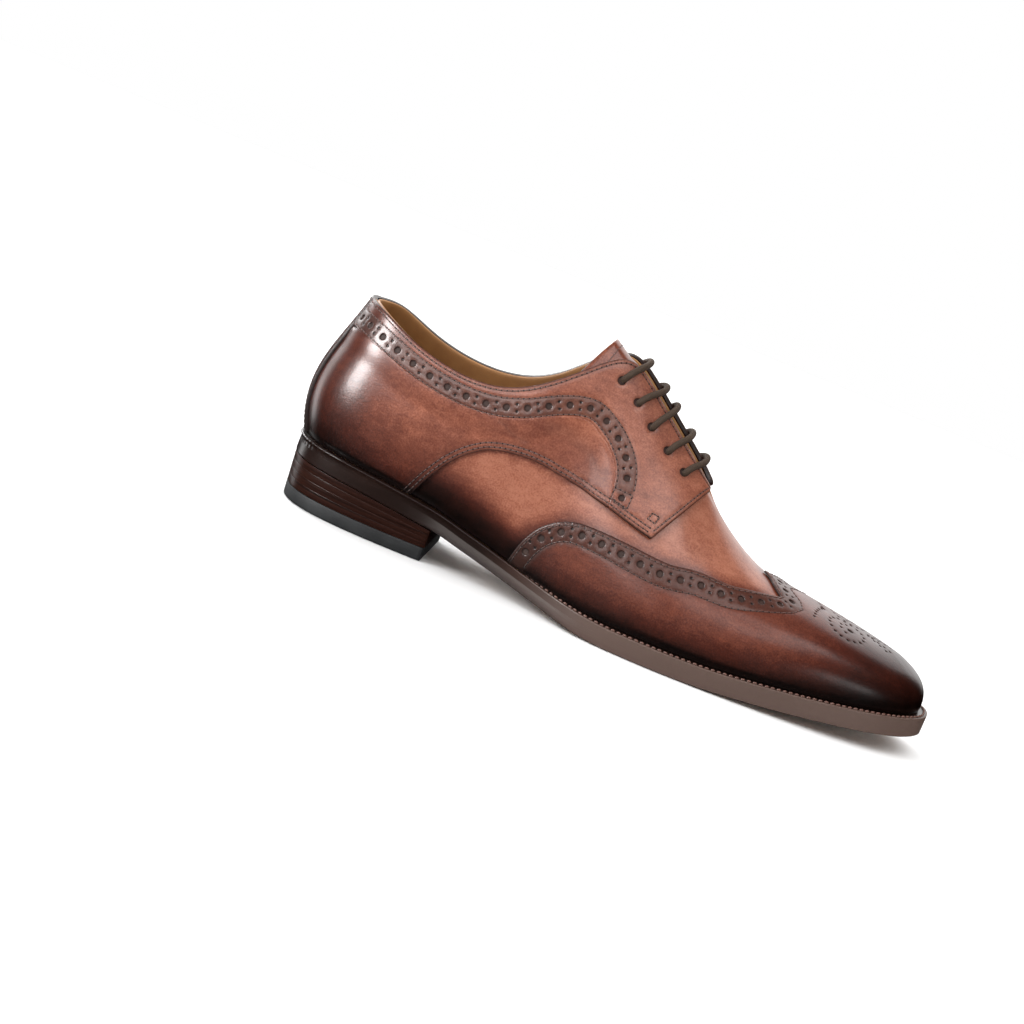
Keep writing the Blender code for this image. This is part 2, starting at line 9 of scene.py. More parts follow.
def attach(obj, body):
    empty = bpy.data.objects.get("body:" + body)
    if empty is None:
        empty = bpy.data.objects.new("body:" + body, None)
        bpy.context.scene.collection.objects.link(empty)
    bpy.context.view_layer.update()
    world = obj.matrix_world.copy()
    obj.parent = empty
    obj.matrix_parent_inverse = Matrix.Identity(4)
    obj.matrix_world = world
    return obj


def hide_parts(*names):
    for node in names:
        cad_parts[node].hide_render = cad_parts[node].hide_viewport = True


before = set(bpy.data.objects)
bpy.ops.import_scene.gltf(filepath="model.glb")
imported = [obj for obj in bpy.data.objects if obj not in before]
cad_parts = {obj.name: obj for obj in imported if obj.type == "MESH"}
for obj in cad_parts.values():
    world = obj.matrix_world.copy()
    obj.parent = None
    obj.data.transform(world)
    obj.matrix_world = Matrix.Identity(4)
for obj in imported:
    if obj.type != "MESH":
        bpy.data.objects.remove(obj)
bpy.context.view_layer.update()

# The form, in millimetres: x from the heel to the toe, y to the inner side of the foot, z up.
# ORIGIN is the place of the frame's origin in it.
ORIGIN = np.array([152.247, -1.18, 0.0])
OUTSOLE = 5.2
WELT = 3.4
GAP = 0.3
WALL = 1.8
HEEL_BREAST = 75.0
HEEL_TAPER = 1.5
TOP_PIECE = 6.0
INSOLE = 2.6
SECTION_COLUMNS = ("x", "out", "inn", "top_x", "top_out", "top_inn", "z_out", "z_inn",
                   "rise_out", "rise_inn", "lean_out", "lean_inn", "reach", "drop")
SECTIONS = [
    (5.0, 0.0, 0.0, 11.5, 0.0, 0.0, 95.8, 95.8, 25, 25, 11.5, 11.5, 7.0, -26),
    (8.4, -14.0, 14.0, 14.8, -10.5, 10.5, 95.2, 95.2, 25, 25, 10.5, 10.5, 6.5, -25),
    (19.0, -25.0, 24.5, 23.5, -19.5, 19.5, 92.8, 93.3, 24, 24, 9.0, 9.0, 6.0, -23),
    (38.0, -30.5, 28.5, 39.0, -25.0, 24.5, 87.3, 87.0, 22, 22, 7.0, 7.0, 5.0, -20),
    (60.0, -31.2, 27.0, 58.5, -27.5, 26.5, 83.3, 82.8, 22, 24, 6.0, 7.0, 4.5, -19),
    (82.0, -30.6, 24.0, 79.0, -28.0, 26.5, 84.3, 83.8, 24, 28, 5.0, 7.0, 5.0, -20),
    (100.0, -31.0, 23.6, 97.0, -25.5, 24.0, 93.0, 92.4, 27, 31, 4.5, 7.0, 8.0, -24),
    (115.0, -33.4, 25.0, 113.0, -18.0, 17.5, 106.6, 107.4, 29, 32, 4.0, 7.0, 11.0, -25),
    (128.0, -37.0, 28.0, 127.0, -9.0, 9.0, 113.7, 114.3, 29, 31, 3.5, 6.5, 14.0, -22),
    (143.0, -41.0, 32.4, 142.5, -6.5, 6.5, 104.2, 105.8, 28, 29, 3.2, 5.5, 15.0, -18),
    (160.0, -44.1, 37.0, 160.0, -6.0, 6.0, 90.2, 92.2, 26, 26, 3.0, 4.5, 16.0, -16),
    (177.0, -45.2, 40.6, 176.5, -5.0, 5.0, 77.2, 78.6, 24, 24, 2.8, 3.6, 17.5, -11),
    (191.0, -44.9, 42.6, 188.5, 0.0, 0.0, 66.6, 66.6, 22, 22, 2.8, 3.0, 20.0, -2),
    (214.0, -42.6, 42.7, 211.5, 0.3, 0.3, 51.7, 51.7, 22, 22, 3.0, 3.0, 26.5, 0),
    (240.0, -38.3, 39.2, 237.0, 1.0, 1.0, 45.2, 45.2, 21.5, 21.5, 3.2, 3.2, 31.0, 0),
    (264.0, -32.5, 33.4, 258.0, 1.8, 1.8, 41.9, 41.9, 19, 19, 3.0, 3.0, 28.0, 0),
    (281.5, -26.1, 27.2, 271.3, 2.0, 2.0, 39.8, 39.8, 15, 15, 2.8, 2.8, 22.5, 0),
    (293.4, -17.9, 20.0, 277.8, 2.0, 2.0, 38.7, 38.7, 12, 12, 2.2, 2.2, 18.5, 0),
    (299.9, -7.7, 11.0, 279.6, 2.0, 2.0, 38.4, 38.4, 10, 10, 2.0, 2.0, 16.0, 0),
    (301.2, 1.9, 1.9, 279.6, 2.0, 2.0, 38.4, 38.4, 10, 10, 2.0, 2.0, 16.0, 0),
]
THROAT = 12
POLE = 18
TIP = len(SECTIONS) - 1
TURN = 2 * TIP
POLE_SLOPE = -0.2
SOLE_LINE = [(0, 20.6), (30, 19.4), (70, 15.4), (94, 10.0), (118, 5.0), (140, 1.6), (158, 0.25), (168, 0.0),
             (192, 0.0), (204, 0.2), (230, 1.9), (260, 4.7), (285, 7.5), (308, 10.2)]
SOLE_EDGE = [(0, 2.4, 2.4, 0.0), (50, 2.4, 2.4, 0.0), (68, 2.0, 2.0, 0.4), (80, 1.0, 0.5, 2.6),
             (110, 0.6, 0.2, 3.4), (130, 1.4, 0.4, 3.0), (143, 3.6, 1.6, 1.2), (152, 5.0, 3.4, 0.3),
             (165, 5.4, 4.6, 0.0), (200, 5.2, 5.2, 0.0), (250, 4.8, 4.8, 0.0), (308, 4.6, 4.6, 0.0)]


def unit(v):
    return v / np.linalg.norm(v, axis=-1, keepdims=True)


def run_of(points):
    """Length along a path up to each of its points."""
    return np.concatenate([[0], np.cumsum(np.linalg.norm(np.diff(points, axis=0), axis=1))])


def at_run(want, run, points):
    """Points of a path at given lengths along it."""
    return np.stack([np.interp(want, run, c) for c in points.T], -1)


def bell(far, wide):
    return np.exp(-(far / wide) ** 2)


def angles(count):
    """A full turn in equal steps."""
    return np.arange(count) * 2 * math.pi / count


def smooth(low, high, x):
    t = np.clip((np.asarray(x, float) - low) / (high - low), 0, 1)
    return t * t * (3 - 2 * t)


def pchip(xs, ys):
    """Smooth curve through points that keeps flat runs flat."""
    xs = np.asarray(xs, float)
    ys = np.asarray(ys, float)
    step = np.diff(xs)
    slope = np.diff(ys) / step
    m = np.zeros_like(ys)
    m[0] = slope[0]
    m[-1] = slope[-1]
    for i in range(1, len(xs) - 1):
        if slope[i - 1] * slope[i] > 0:
            w1 = 2 * step[i] + step[i - 1]
            w2 = step[i] + 2 * step[i - 1]
            m[i] = (w1 + w2) / (w1 / slope[i - 1] + w2 / slope[i])

    def at(x):
        x = np.clip(np.asarray(x, float), xs[0], xs[-1])
        i = np.clip(np.searchsorted(xs, x, "right") - 1, 0, len(xs) - 2)
        t = (x - xs[i]) / step[i]
        return ((1 + 2 * t) * (1 - t) ** 2 * ys[i] + t * (1 - t) ** 2 * step[i] * m[i]
                + t * t * (3 - 2 * t) * ys[i + 1] + t * t * (t - 1) * step[i] * m[i + 1])
    return at


def ring_spline(rows):
    """Closed cubic spline through rows of numbers, one row per whole step of u."""
    q = np.asarray(rows, float)
    n = len(q)
    a = 4 * np.eye(n) + np.roll(np.eye(n), 1, 1) + np.roll(np.eye(n), -1, 1)
    m = np.linalg.solve(a, 6 * (np.roll(q, -1, 0) - 2 * q + np.roll(q, 1, 0)))

    def at(u):
        u = np.mod(np.asarray(u, float), n)
        i = np.minimum(u.astype(int), n - 1)
        j = (i + 1) % n
        b = (u - i)[..., None]
        c = 1 - b
        return m[i] * (c ** 3 - c) / 6 + m[j] * (b ** 3 - b) / 6 + q[i] * c + q[j] * b
    return at


def section_rows():
    """Rows round the shoe: lateral side from the heel to the toe tip, then the medial side back."""
    sides = {"out": [], "inn": []}
    for row in SECTIONS:
        s = dict(zip(SECTION_COLUMNS, row))
        for side in sides:
            sides[side].append((s["x"], s[side], s["top_x"], s["top_" + side], s["z_" + side],
                                s["rise_" + side], s["lean_" + side], s["reach"], s["drop"]))
    return sides["out"] + sides["inn"][-2:0:-1]


section_at = ring_spline(section_rows())
sole_line = pchip(*zip(*SOLE_LINE))
edge_x, edge_lat, edge_med, edge_bevel = zip(*SOLE_EDGE)
reach_lat = pchip(edge_x, edge_lat)
reach_med = pchip(edge_x, edge_med)
bevel_at = pchip(edge_x, edge_bevel)


def welt_top(x):
    return sole_line(x) + OUTSOLE + GAP + WELT


def station(u):
    """Section number counted from the heel, the same on both sides."""
    u = np.mod(u, TURN)
    return np.minimum(u, TURN - u)


def top_edge(u):
    """Top edge of the sides. On the vamp both sides share the ridge, which ends at the toe's pole."""
    u = np.mod(np.asarray(u, float), TURN)
    k = np.minimum(station(u), POLE)
    lat = section_at(k)[..., 2:5]
    med = section_at(TURN - k)[..., 2:5]
    own = np.where((u <= TIP)[..., None], lat, med)
    return np.where((k >= THROAT)[..., None], (lat + med) / 2, own)


def outward(u, step=0.004):
    """Level direction out of the feather line."""
    t = unit(section_at(u + step)[..., :2] - section_at(u - step)[..., :2])
    return np.stack([t[..., 1], -t[..., 0]], -1)


def ridge_slope(u):
    k = np.clip(station(u), THROAT - 1, POLE - 0.5)
    d = top_edge(k + 0.02) - top_edge(k - 0.02)
    slope = d[..., 2] / d[..., 0]
    near = np.clip((station(u) - POLE + 1) * 2, 0, 1)
    slope = slope * (1 - near) + POLE_SLOPE * near
    return slope * np.clip(station(u) - THROAT + 1, 0, 1)


def surface(u, v):
    """Outer face of the form: u goes round the sections, v from the feather line (0) to the top edge (1)."""
    u, v = np.broadcast_arrays(np.asarray(u, float), np.asarray(v, float))
    x, y, _, _, _, rise, lean, reach, drop = np.moveaxis(section_at(u), -1, 0)
    p0 = np.stack([x, y, welt_top(x) + GAP], -1)
    p3 = top_edge(u)
    out = outward(u)
    p1 = p0 + np.stack([lean * out[..., 0], lean * out[..., 1], rise], -1)
    way = p0[..., :2] - p3[..., :2]
    far = np.linalg.norm(way, axis=-1, keepdims=True)
    own = np.clip((far - 8) / 14, 0, 1)
    aim = unit(out * (1 - own) + way / np.maximum(far, 1e-6) * own)
    p2 = p3 + np.stack([reach * aim[..., 0], reach * aim[..., 1],
                        drop + ridge_slope(u) * reach * aim[..., 0]], -1)
    t = v[..., None]
    return (1 - t) ** 3 * p0 + 3 * (1 - t) ** 2 * t * p1 + 3 * (1 - t) * t * t * p2 + t ** 3 * p3


def normal(u, v, step=0.002):
    """Outward unit normal, taken just inside the edges; on the ridge it is the mean of both sides."""
    u, v = np.broadcast_arrays(np.asarray(u, float), np.asarray(v, float))
    w = np.clip(v, 2 * step, 1 - 4 * step)
    shared = (v > 1 - 1e-6) & (station(u) >= THROAT)

    def one(q):
        return unit(np.cross(surface(q + step, w) - surface(q - step, w),
                             surface(q, w + step) - surface(q, w - step)))
    n = one(u)
    if shared.any():
        n = unit(np.where(shared[..., None], n + one(TURN - u), n))
    return n


# Layers of the upper, as distances from the form's outer face.
BASE = -1.2
PANEL_IN = BASE + 1.3 * GAP
PANEL_OUT = PANEL_IN + 1.1
TRIM_OUT = PANEL_OUT + 1.2
LACE_R = 1.5
STRIP_TOP = 8.5
STRIP_FOOT = 9.5
BACK_STEP = 14.5
STRIP_COVER = 0.06
EYELET_R = 1.95

# Panel lines as station (sections from the heel) and v.
QUARTER_EDGE = [(4.03, 0.0), (4.28, 0.19), (4.56, 0.35), (4.9, 0.475), (5.3, 0.548), (5.65, 0.563),
                (6.07, 0.549), (6.65, 0.506), (7.3, 0.456), (7.9, 0.433), (8.4, 0.429), (9.1, 0.442),
                (9.7, 0.457), (10.27, 0.474)]
QUARTER_FRONT = [(10.27, 0.474), (10.7, 0.671), (11.23, 0.942)]
TRIM_EDGE = [(1.0, 0.80), (2.6, 0.797), (3.4, 0.79), (4.6, 0.79), (5.5, 0.788), (6.0, 0.782), (6.4, 0.77),
             (6.9, 0.742), (7.45, 0.695), (8.0, 0.640), (8.4, 0.615), (8.7, 0.585), (8.88, 0.54),
             (9.0, 0.448)]
WING_EDGE = [(6.7, 0.0), (6.77, 0.05), (6.95, 0.138), (7.38, 0.233), (8.18, 0.304), (9.0, 0.346),
             (10.15, 0.40), (11.4, 0.45), (12.53, 0.533), (13.175, 0.676), (13.525, 0.776)]
PEAK_EDGE = [(13.15, 1.0), (13.263, 0.952), (13.407, 0.847), (13.525, 0.776)]
# Eyelets as station, v and how far the bar leans forward, in stations.
EYELETS = [(7.93, 0.883, 0.40), (8.6, 0.848, 0.40), (9.18, 0.836, 0.28), (9.77, 0.842, 0.28),
           (10.33, 0.854, 0.28)]
COLLAR_LINE = [(0.95, 0.873), (1.73, 0.873), (2.6, 0.870), (3.4, 0.864), (4.2, 0.861), (5.0, 0.858),
               (5.48, 0.857), (5.93, 0.846), (6.4, 0.829), (6.88, 0.796), (7.45, 0.746), (8.08, 0.690),
               (8.58, 0.662),
               (8.95, 0.629), (9.15, 0.579), (9.2, 0.545)]
BOX_HOLE = (9.22, 0.506)
BOX = [(8.97, 0.517), (9.45, 0.548), (9.45, 0.490), (8.95, 0.474), (8.97, 0.517)]


def line(points):
    return pchip(*zip(*points))


quarter_low = line(QUARTER_EDGE)
quarter_front = line(QUARTER_FRONT)
trim_low = line(TRIM_EDGE)
wing_high = line(WING_EDGE)
peak_low = line(PEAK_EDGE)
VALLEY = WING_EDGE[-1][0]


def curve(at, first, last, count):
    k = np.linspace(first, last, count)
    return np.column_stack([k, at(k)])


def strip_half(v):
    """Half the width of the back strip, in stations."""
    return (STRIP_FOOT + (STRIP_TOP - STRIP_FOOT) * v) / BACK_STEP


class Chart:
    """Flat pattern coordinates (a, b) of a part of the form."""

    def __init__(self, to_uv, sign):
        self.to_uv = to_uv
        self.sign = sign

    def flat(self, ab):
        u, v = self.to_uv(np.asarray(ab, float))
        return surface(u, v)

    def normal(self, ab):
        return normal(*self.to_uv(np.asarray(ab, float)))

    def lift(self, ab, distance):
        p = self.flat(ab) + self.normal(ab) * np.asarray(distance, float).reshape(-1, 1)
        p[:, 2] = np.maximum(p[:, 2], welt_top(p[:, 0]) + GAP)
        return p

    def slopes(self, ab):
        """How the form's points move with a and with b."""
        found = []
        for step in ((0.004, 0.0), (0.0, 0.002)):
            step = np.array(step)
            found.append((self.flat(ab + step) - self.flat(ab - step)) / (2 * step.max()))
        return found

    def step(self, ab, move):
        """Change of (a, b) that makes the given moves along the surface."""
        da, db = self.slopes(ab)
        aa = (da * da).sum(1)
        bb = (db * db).sum(1)
        cc = (da * db).sum(1)
        ma = (da * move).sum(1)
        mb = (db * move).sum(1)
        det = np.maximum(aa * bb - cc * cc, 1e-3)
        return np.column_stack([(bb * ma - cc * mb) / det, (aa * mb - cc * ma) / det])

    def along(self, ab):
        """Unit directions of a line of points, on the surface."""
        t = np.gradient(self.flat(ab), axis=0)
        return t / np.maximum(np.linalg.norm(t, axis=1, keepdims=True), 1e-9)

    def even(self, ab, pitch):
        """The same line with points a pitch apart."""
        ab = np.asarray(ab, float)
        run = run_of(self.flat(ab))
        return at_run(np.linspace(0, run[-1], max(2, int(round(run[-1] / pitch)) + 1)), run, ab)

    def track(self, ab, pitch):
        """Points of a line on the form, a pitch apart."""
        return self.flat(self.even(ab, pitch))

    def beside(self, ab, distance, steps=4):
        """The line moved sideways on the surface: to the left of its run on the lateral side.

        The distance is a number, or a function of the station along the line.
        """
        ab = self.even(ab, 1.5)
        varied = callable(distance)
        share = np.asarray(distance(ab[:, 0])) if varied else np.full(len(ab), float(distance))
        for _ in range(steps):
            side = self.sign * np.cross(self.normal(ab), self.along(ab))
            ab = ab + self.step(ab, side * share[:, None] / steps)
            if not varied:
                ab = self.even(ab, 1.5)
                share = np.full(len(ab), float(distance))
        return ab

    def circle(self, centre, radius, count):
        ab = np.repeat(np.array([centre], float), count, 0)
        first = unit(self.slopes(ab)[0])
        second = np.cross(self.normal(ab), first)
        turn = angles(count)[:, None]
        return ab + self.step(ab, radius * (np.cos(turn) * first + np.sin(turn) * second))


def toe_uv(ab):
    """Both sides at once: b is 0 on the ridge, -1 on the lateral and 1 on the medial feather line."""
    k, b = ab[:, 0], ab[:, 1]
    return np.where(b <= 0, k, TURN - k), 1 - np.abs(b)


LATERAL = Chart(lambda ab: (ab[:, 0], ab[:, 1]), 1)
MEDIAL = Chart(lambda ab: (TURN - ab[:, 0], ab[:, 1]), -1)
TOE = Chart(toe_uv, 1)


def distances(points, targets):
    """Distance of each point from the nearest target, and which one that is."""
    tree = KDTree(len(targets))
    for i, p in enumerate(targets):
        tree.insert(p, i)
    tree.balance()
    found = [tree.find(p) for p in points]
    return np.array([f[2] for f in found]), np.array([f[1] for f in found])


def within(ring, points):
    """Which flat points lie inside a closed ring."""
    x, y = points[:, 0], points[:, 1]
    inside = np.zeros(len(points), bool)
    ax, ay = ring[-1]
    for bx, by in ring:
        if ay != by:
            cross = (ay > y) != (by > y)
            inside ^= cross & (x < (bx - ax) * (y - ay) / (by - ay) + ax)
        ax, ay = bx, by
    return inside


def to_frame(points):
    return (np.asarray(points, float) - ORIGIN) * 0.001


def add_mesh(name, points, faces, materials, paint=None, face_material=None, replaces=()):
    """Mesh piece from points in the form's millimetres."""
    mesh = bpy.data.meshes.new(name)
    mesh.from_pydata(to_frame(points).tolist(), [], [tuple(int(i) for i in f) for f in faces])
    for material in materials:
        mesh.materials.append(material)
    if face_material is not None:
        mesh.polygons.foreach_set("material_index", np.asarray(face_material, np.int32))
    mesh.polygons.foreach_set("use_smooth", np.ones(len(mesh.polygons), bool))
    if paint is not None:
        layer = mesh.attributes.new("paint", "FLOAT_COLOR", "POINT")
        full = np.zeros((len(points), 4), np.float32)
        full[:, :paint.shape[1]] = paint
        full[:, 3] = 1
        layer.data.foreach_set("color", full.ravel())
    mesh.update()
    obj = bpy.data.objects.new(name, mesh)
    bpy.context.scene.collection.objects.link(obj)
    if replaces:
        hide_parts(*replaces)
    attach(obj, "root")
    return obj


def weld(points, faces, paint, kinds):
    """Joins points at the same place, such as those along the toe's seam."""
    key = np.round(points, 3)
    _, first, back = np.unique(key, axis=0, return_index=True, return_inverse=True)
    back = back.ravel()
    kept = []
    kept_kinds = []
    for f, kind in zip(faces, kinds):
        ring = []
        for i in f:
            j = int(back[i])
            if j not in ring:
                ring.append(j)
        if len(ring) > 2:
            kept.append(tuple(ring))
            kept_kinds.append(kind)
    return points[first], kept, paint[first], kept_kinds


def grid_faces(rows, columns):
    found = []
    for i in range(rows - 1):
        for j in range(columns - 1):
            a = i * columns + j
            found.append((a, a + 1, a + columns + 1, a + columns))
    return found


def tube_faces(rings, sides, start=0):
    """Quads between closed rings of points."""
    found = []
    for i in range(rings - 1):
        for j in range(sides):
            a = start + i * sides + j
            b = start + i * sides + (j + 1) % sides
            found.append((a, b, b + sides, a + sides))
    return found


def burnish_and_crevice_shade(part, p):
    """How dark the polish is, by part of the shoe: 0 is pale, 1 nearly black. The lowest millimetres above
    the welt get painted shade for the crevice there.
    """
    x, _, z = p.T
    above = np.maximum(z - welt_top(x), 0.0)
    # Painted shade: the crevice where the upper meets the welt is darkened.
    painted_crevice_shade = 0.8 * np.exp(-(above / 3.0) ** 4)
    if part == "vamp":
        low = np.exp(-(above / (6.0 + 9.0 * bell(x - 84, 40))) ** 2.5)
        return 0.07 + 0.90 * low + painted_crevice_shade
    if part == "wing":
        return 0.30 + 0.40 * bell(above, 10.0) + 0.36 * smooth(222, 290, x) + painted_crevice_shade
    if part == "strip":
        return 0.62 + 0.20 * bell(above, 20.0) + painted_crevice_shade
    low = 0.30 * bell(above, 17.0) + 0.20 * bell(above, 7.0)
    front = bell(x - 132, 20) * bell(z - 62, 14)
    back = 0.25 * (1 - smooth(8, 46, x))
    return 0.12 + 0.06 * (1 - smooth(100, 128, x)) + low + back + 0.10 * front + painted_crevice_shade


# Stitches, needle holes and hole floors are kept here until each kind becomes one joined mesh.
STITCHES = []
NEEDLE_HOLES = []
HOLE_FLOORS = []
PITCH = 2.4
STITCH_SHARE = 0.8
STITCH_R = 0.27
STITCH_IN = 0.02
NEEDLE_R = 0.46
WELT_THREAD = 0.55
ROUND_SIDES = 7
# A stitch from end to end: place along it, width and height, in shares of its half length and radius.
STITCH_SHAPE = np.array([(-1.0, 0.30, -0.5), (-0.82, 0.8, -0.18), (-0.35, 1.0, 0.05), (0.35, 1.0, 0.05),
                         (0.82, 0.8, -0.18), (1.0, 0.30, -0.5)])


def sew(chart, row, height, tone, pitch=PITCH):
    """Keeps the stitches of a row in a panel."""
    row = chart.even(row, pitch / 6)
    keep_row(chart.lift(row, height(chart, row) - STITCH_IN), chart.normal(row), tone, pitch)


def keep_row(p, up, tone, pitch=PITCH):
    """Stitches along a path: their middles and directions, and the needle holes between them."""
    run = run_of(p)
    count = max(1, int(round(run[-1] / pitch)))
    centre = (np.arange(count) + 0.5) * run[-1] / count
    half = 0.5 * STITCH_SHARE * run[-1] / count
    ahead = at_run(centre + half, run, p) - at_run(centre - half, run, p)
    ahead /= np.maximum(np.linalg.norm(ahead, axis=1, keepdims=True), 1e-9)
    STITCHES.append((at_run(centre, run, p), ahead, unit(at_run(centre, run, up)), half, STITCH_R, tone))
    ends = np.arange(count + 1) * run[-1] / count
    NEEDLE_HOLES.append((at_run(ends, run, p), unit(at_run(ends, run, up))))


def make_needle_holes(material):
    """Low domes that stand for the needle holes, dark with painted shade."""
    angle = angles(ROUND_SIDES)[:, None]
    points = []
    for spot, up in NEEDLE_HOLES:
        first = unit(np.cross(up, (0.31, 0.2, 0.93)))
        rim = first[:, None] * np.cos(angle) + np.cross(up, first)[:, None] * np.sin(angle)
        rim = spot[:, None] + rim * NEEDLE_R - up[:, None] * 0.08
        points.append(np.concatenate([rim, (spot + up * 0.07)[:, None]], 1).reshape(-1, 3))
    points = np.vstack(points)
    faces = []
    for s in range(0, len(points), ROUND_SIDES + 1):
        faces += [(s + j, s + (j + 1) % ROUND_SIDES, s + ROUND_SIDES) for j in range(ROUND_SIDES)]
    add_mesh("needle_holes", points, faces, [material])


def make_hole_floors(big, small):
    """Floors of the punched holes and eyelets, dark with painted shade."""
    points = np.vstack([ring for ring, _ in HOLE_FLOORS])
    faces = []
    start = 0
    for ring, _ in HOLE_FLOORS:
        faces.append(tuple(range(start, start + len(ring))))
        start += len(ring)
    kinds = [0 if wide else 1 for _, wide in HOLE_FLOORS]
    add_mesh("hole_floors", points, faces, [big, small], None, kinds)


def make_thread(material):
    angle = angles(ROUND_SIDES)
    along, wide, high = STITCH_SHAPE.T[..., None]
    per = len(STITCH_SHAPE) * ROUND_SIDES
    points = []
    tones = []
    for at, ahead, up, half, radius, tone in STITCHES:
        rise = radius * (wide * np.sin(angle) + high)
        aside = radius * wide * np.cos(angle)
        ring = (at[:, None, None] + ahead[:, None, None] * (half * along)[..., None]
                + up[:, None, None] * rise[..., None] + np.cross(up, ahead)[:, None, None] * aside[..., None])
        points.append(ring.reshape(-1, 3))
        low = bell(at[:, 2] - welt_top(at[:, 0]), 20.0) * (tone < WELT_THREAD)
        tones.append(np.repeat(tone * (1 - 0.75 * low), per))
    points = np.vstack(points)
    faces = []
    for s in range(0, len(points), per):
        faces += tube_faces(len(STITCH_SHAPE), ROUND_SIDES, s)
        faces += [tuple(range(s + ROUND_SIDES - 1, s - 1, -1)), tuple(range(s + per - ROUND_SIDES, s + per))]
    tone = np.repeat(np.concatenate(tones)[:, None], 3, 1)
    add_mesh("thread", points, faces, [material], tone)


# Panels. The pressed-in edges, seams and holes are bells of a depth and a width, and so is their dark paint:
# edge dye with painted shade on the cut edges, painted shade in the grooves, creases and round the holes.
SPACING = 2.1
LARGE_HOLE = 1.0
HOLE_ROOM = 0.25
EDGE_DROP = 0.42
EDGE_WIDE = 0.42
SOFT_REACH = 1.2


def hole_sides(radius):
    return 14 if radius > LARGE_HOLE else 9


def nearest_hole(chart, holes, p):
    """Distance from the middle of the nearest hole, and that hole's radius."""
    far, which = distances(p, chart.flat(np.array([centre for centre, _ in holes], float)))
    return far, np.array([radius for _, radius in holes], float)[which]


def cut_ring(chart, outline):
    """A panel's outline with points 1 mm apart."""
    ring = chart.even(outline, 1.0)[:-1]
    if chart is TOE:
        # Both halves of the toe's middle line get the same points, so that they can be joined.
        at_tip = np.flatnonzero(ring[:, 0] > TIP - 1e-6)
        half = chart.even(tip_line(-1.0, 0.0), 1.0)
        ring = np.vstack([ring[:at_tip[0]], half, other_side(half)[::-1][1:], ring[at_tip[-1] + 1:]])
    return ring


def triangles(chart, ring, holes, rows, creases):
    """Points (a, b) and triangles of a panel, with more of them along edges, holes, seams and creases."""
    loops = [ring] + [chart.circle(centre, radius, hole_sides(radius)) for centre, radius in holes]
    close = np.vstack([ring, ring[:1]])
    extra = [chart.beside(close, off, 1) for off in (0.32, 0.9, -0.32, -0.9)]
    extra += [chart.circle(centre, radius + 0.4, hole_sides(radius)) for centre, radius in holes]
    for row, pitch, wide in [(r, 0.9, 0.55) for r in rows] + [(r, 0.8, w) for r, _, w in creases]:
        extra.append(chart.even(row, pitch))
        extra += [chart.even(chart.beside(row, off, 1), 1.0) for off in (wide, -wide)]
    low = ring.min(0)
    high = ring.max(0)
    sa, sb = (SPACING / np.percentile(np.linalg.norm(d, axis=1), 80) for d in chart.slopes(ring))
    ga, gb = np.meshgrid(np.arange(low[0], high[0], sa), np.arange(low[1], high[1], sb * 0.87), indexing="ij")
    ga = ga + (np.arange(ga.shape[1]) % 2)[None, :] * sa / 2
    grid = np.column_stack([ga.ravel(), gb.ravel()])
    scale = np.array([SPACING / sa, SPACING / sb])

    taken = [np.vstack(loops)]
    spots = [chart.flat(taken[0])]
    for points, least in [(e, 0.28) for e in extra] + [(grid, 0.75)]:
        points = points[within(ring * scale, points * scale)]
        if not len(points):
            continue
        p = chart.flat(points)
        if holes:
            far, radius = nearest_hole(chart, holes, p)
            keep = far > radius + HOLE_ROOM
            points, p = points[keep], p[keep]
        keep = distances(p, np.vstack(spots))[0] > least
        taken.append(points[keep])
        spots.append(p[keep])
    edges = []
    start = 0
    for loop in loops:
        n = len(loop)
        edges += [(start + i, start + (i + 1) % n) for i in range(n)]
        start += n
    places = [Vector(q) for q in np.vstack(taken) * scale]
    flat, _, faces, _, _, _ = delaunay_2d_cdt(places, edges, [], 0, 1e-6, False)
    ab = np.array([tuple(q) for q in flat]) / scale
    faces = np.array([tuple(f) for f in faces])
    middle = ab[faces].mean(1)
    keep = within(ring * scale, middle * scale)
    for loop in loops[1:]:
        box = (np.abs(middle - loop.mean(0)) < np.abs(loop - loop.mean(0)).max(0) * 1.2).all(1)
        where = np.flatnonzero(box)
        keep[where] &= ~within(loop * scale, middle[where] * scale)
    used, back = np.unique(faces[keep], return_inverse=True)
    return ab[used], back.reshape(-1, 3)


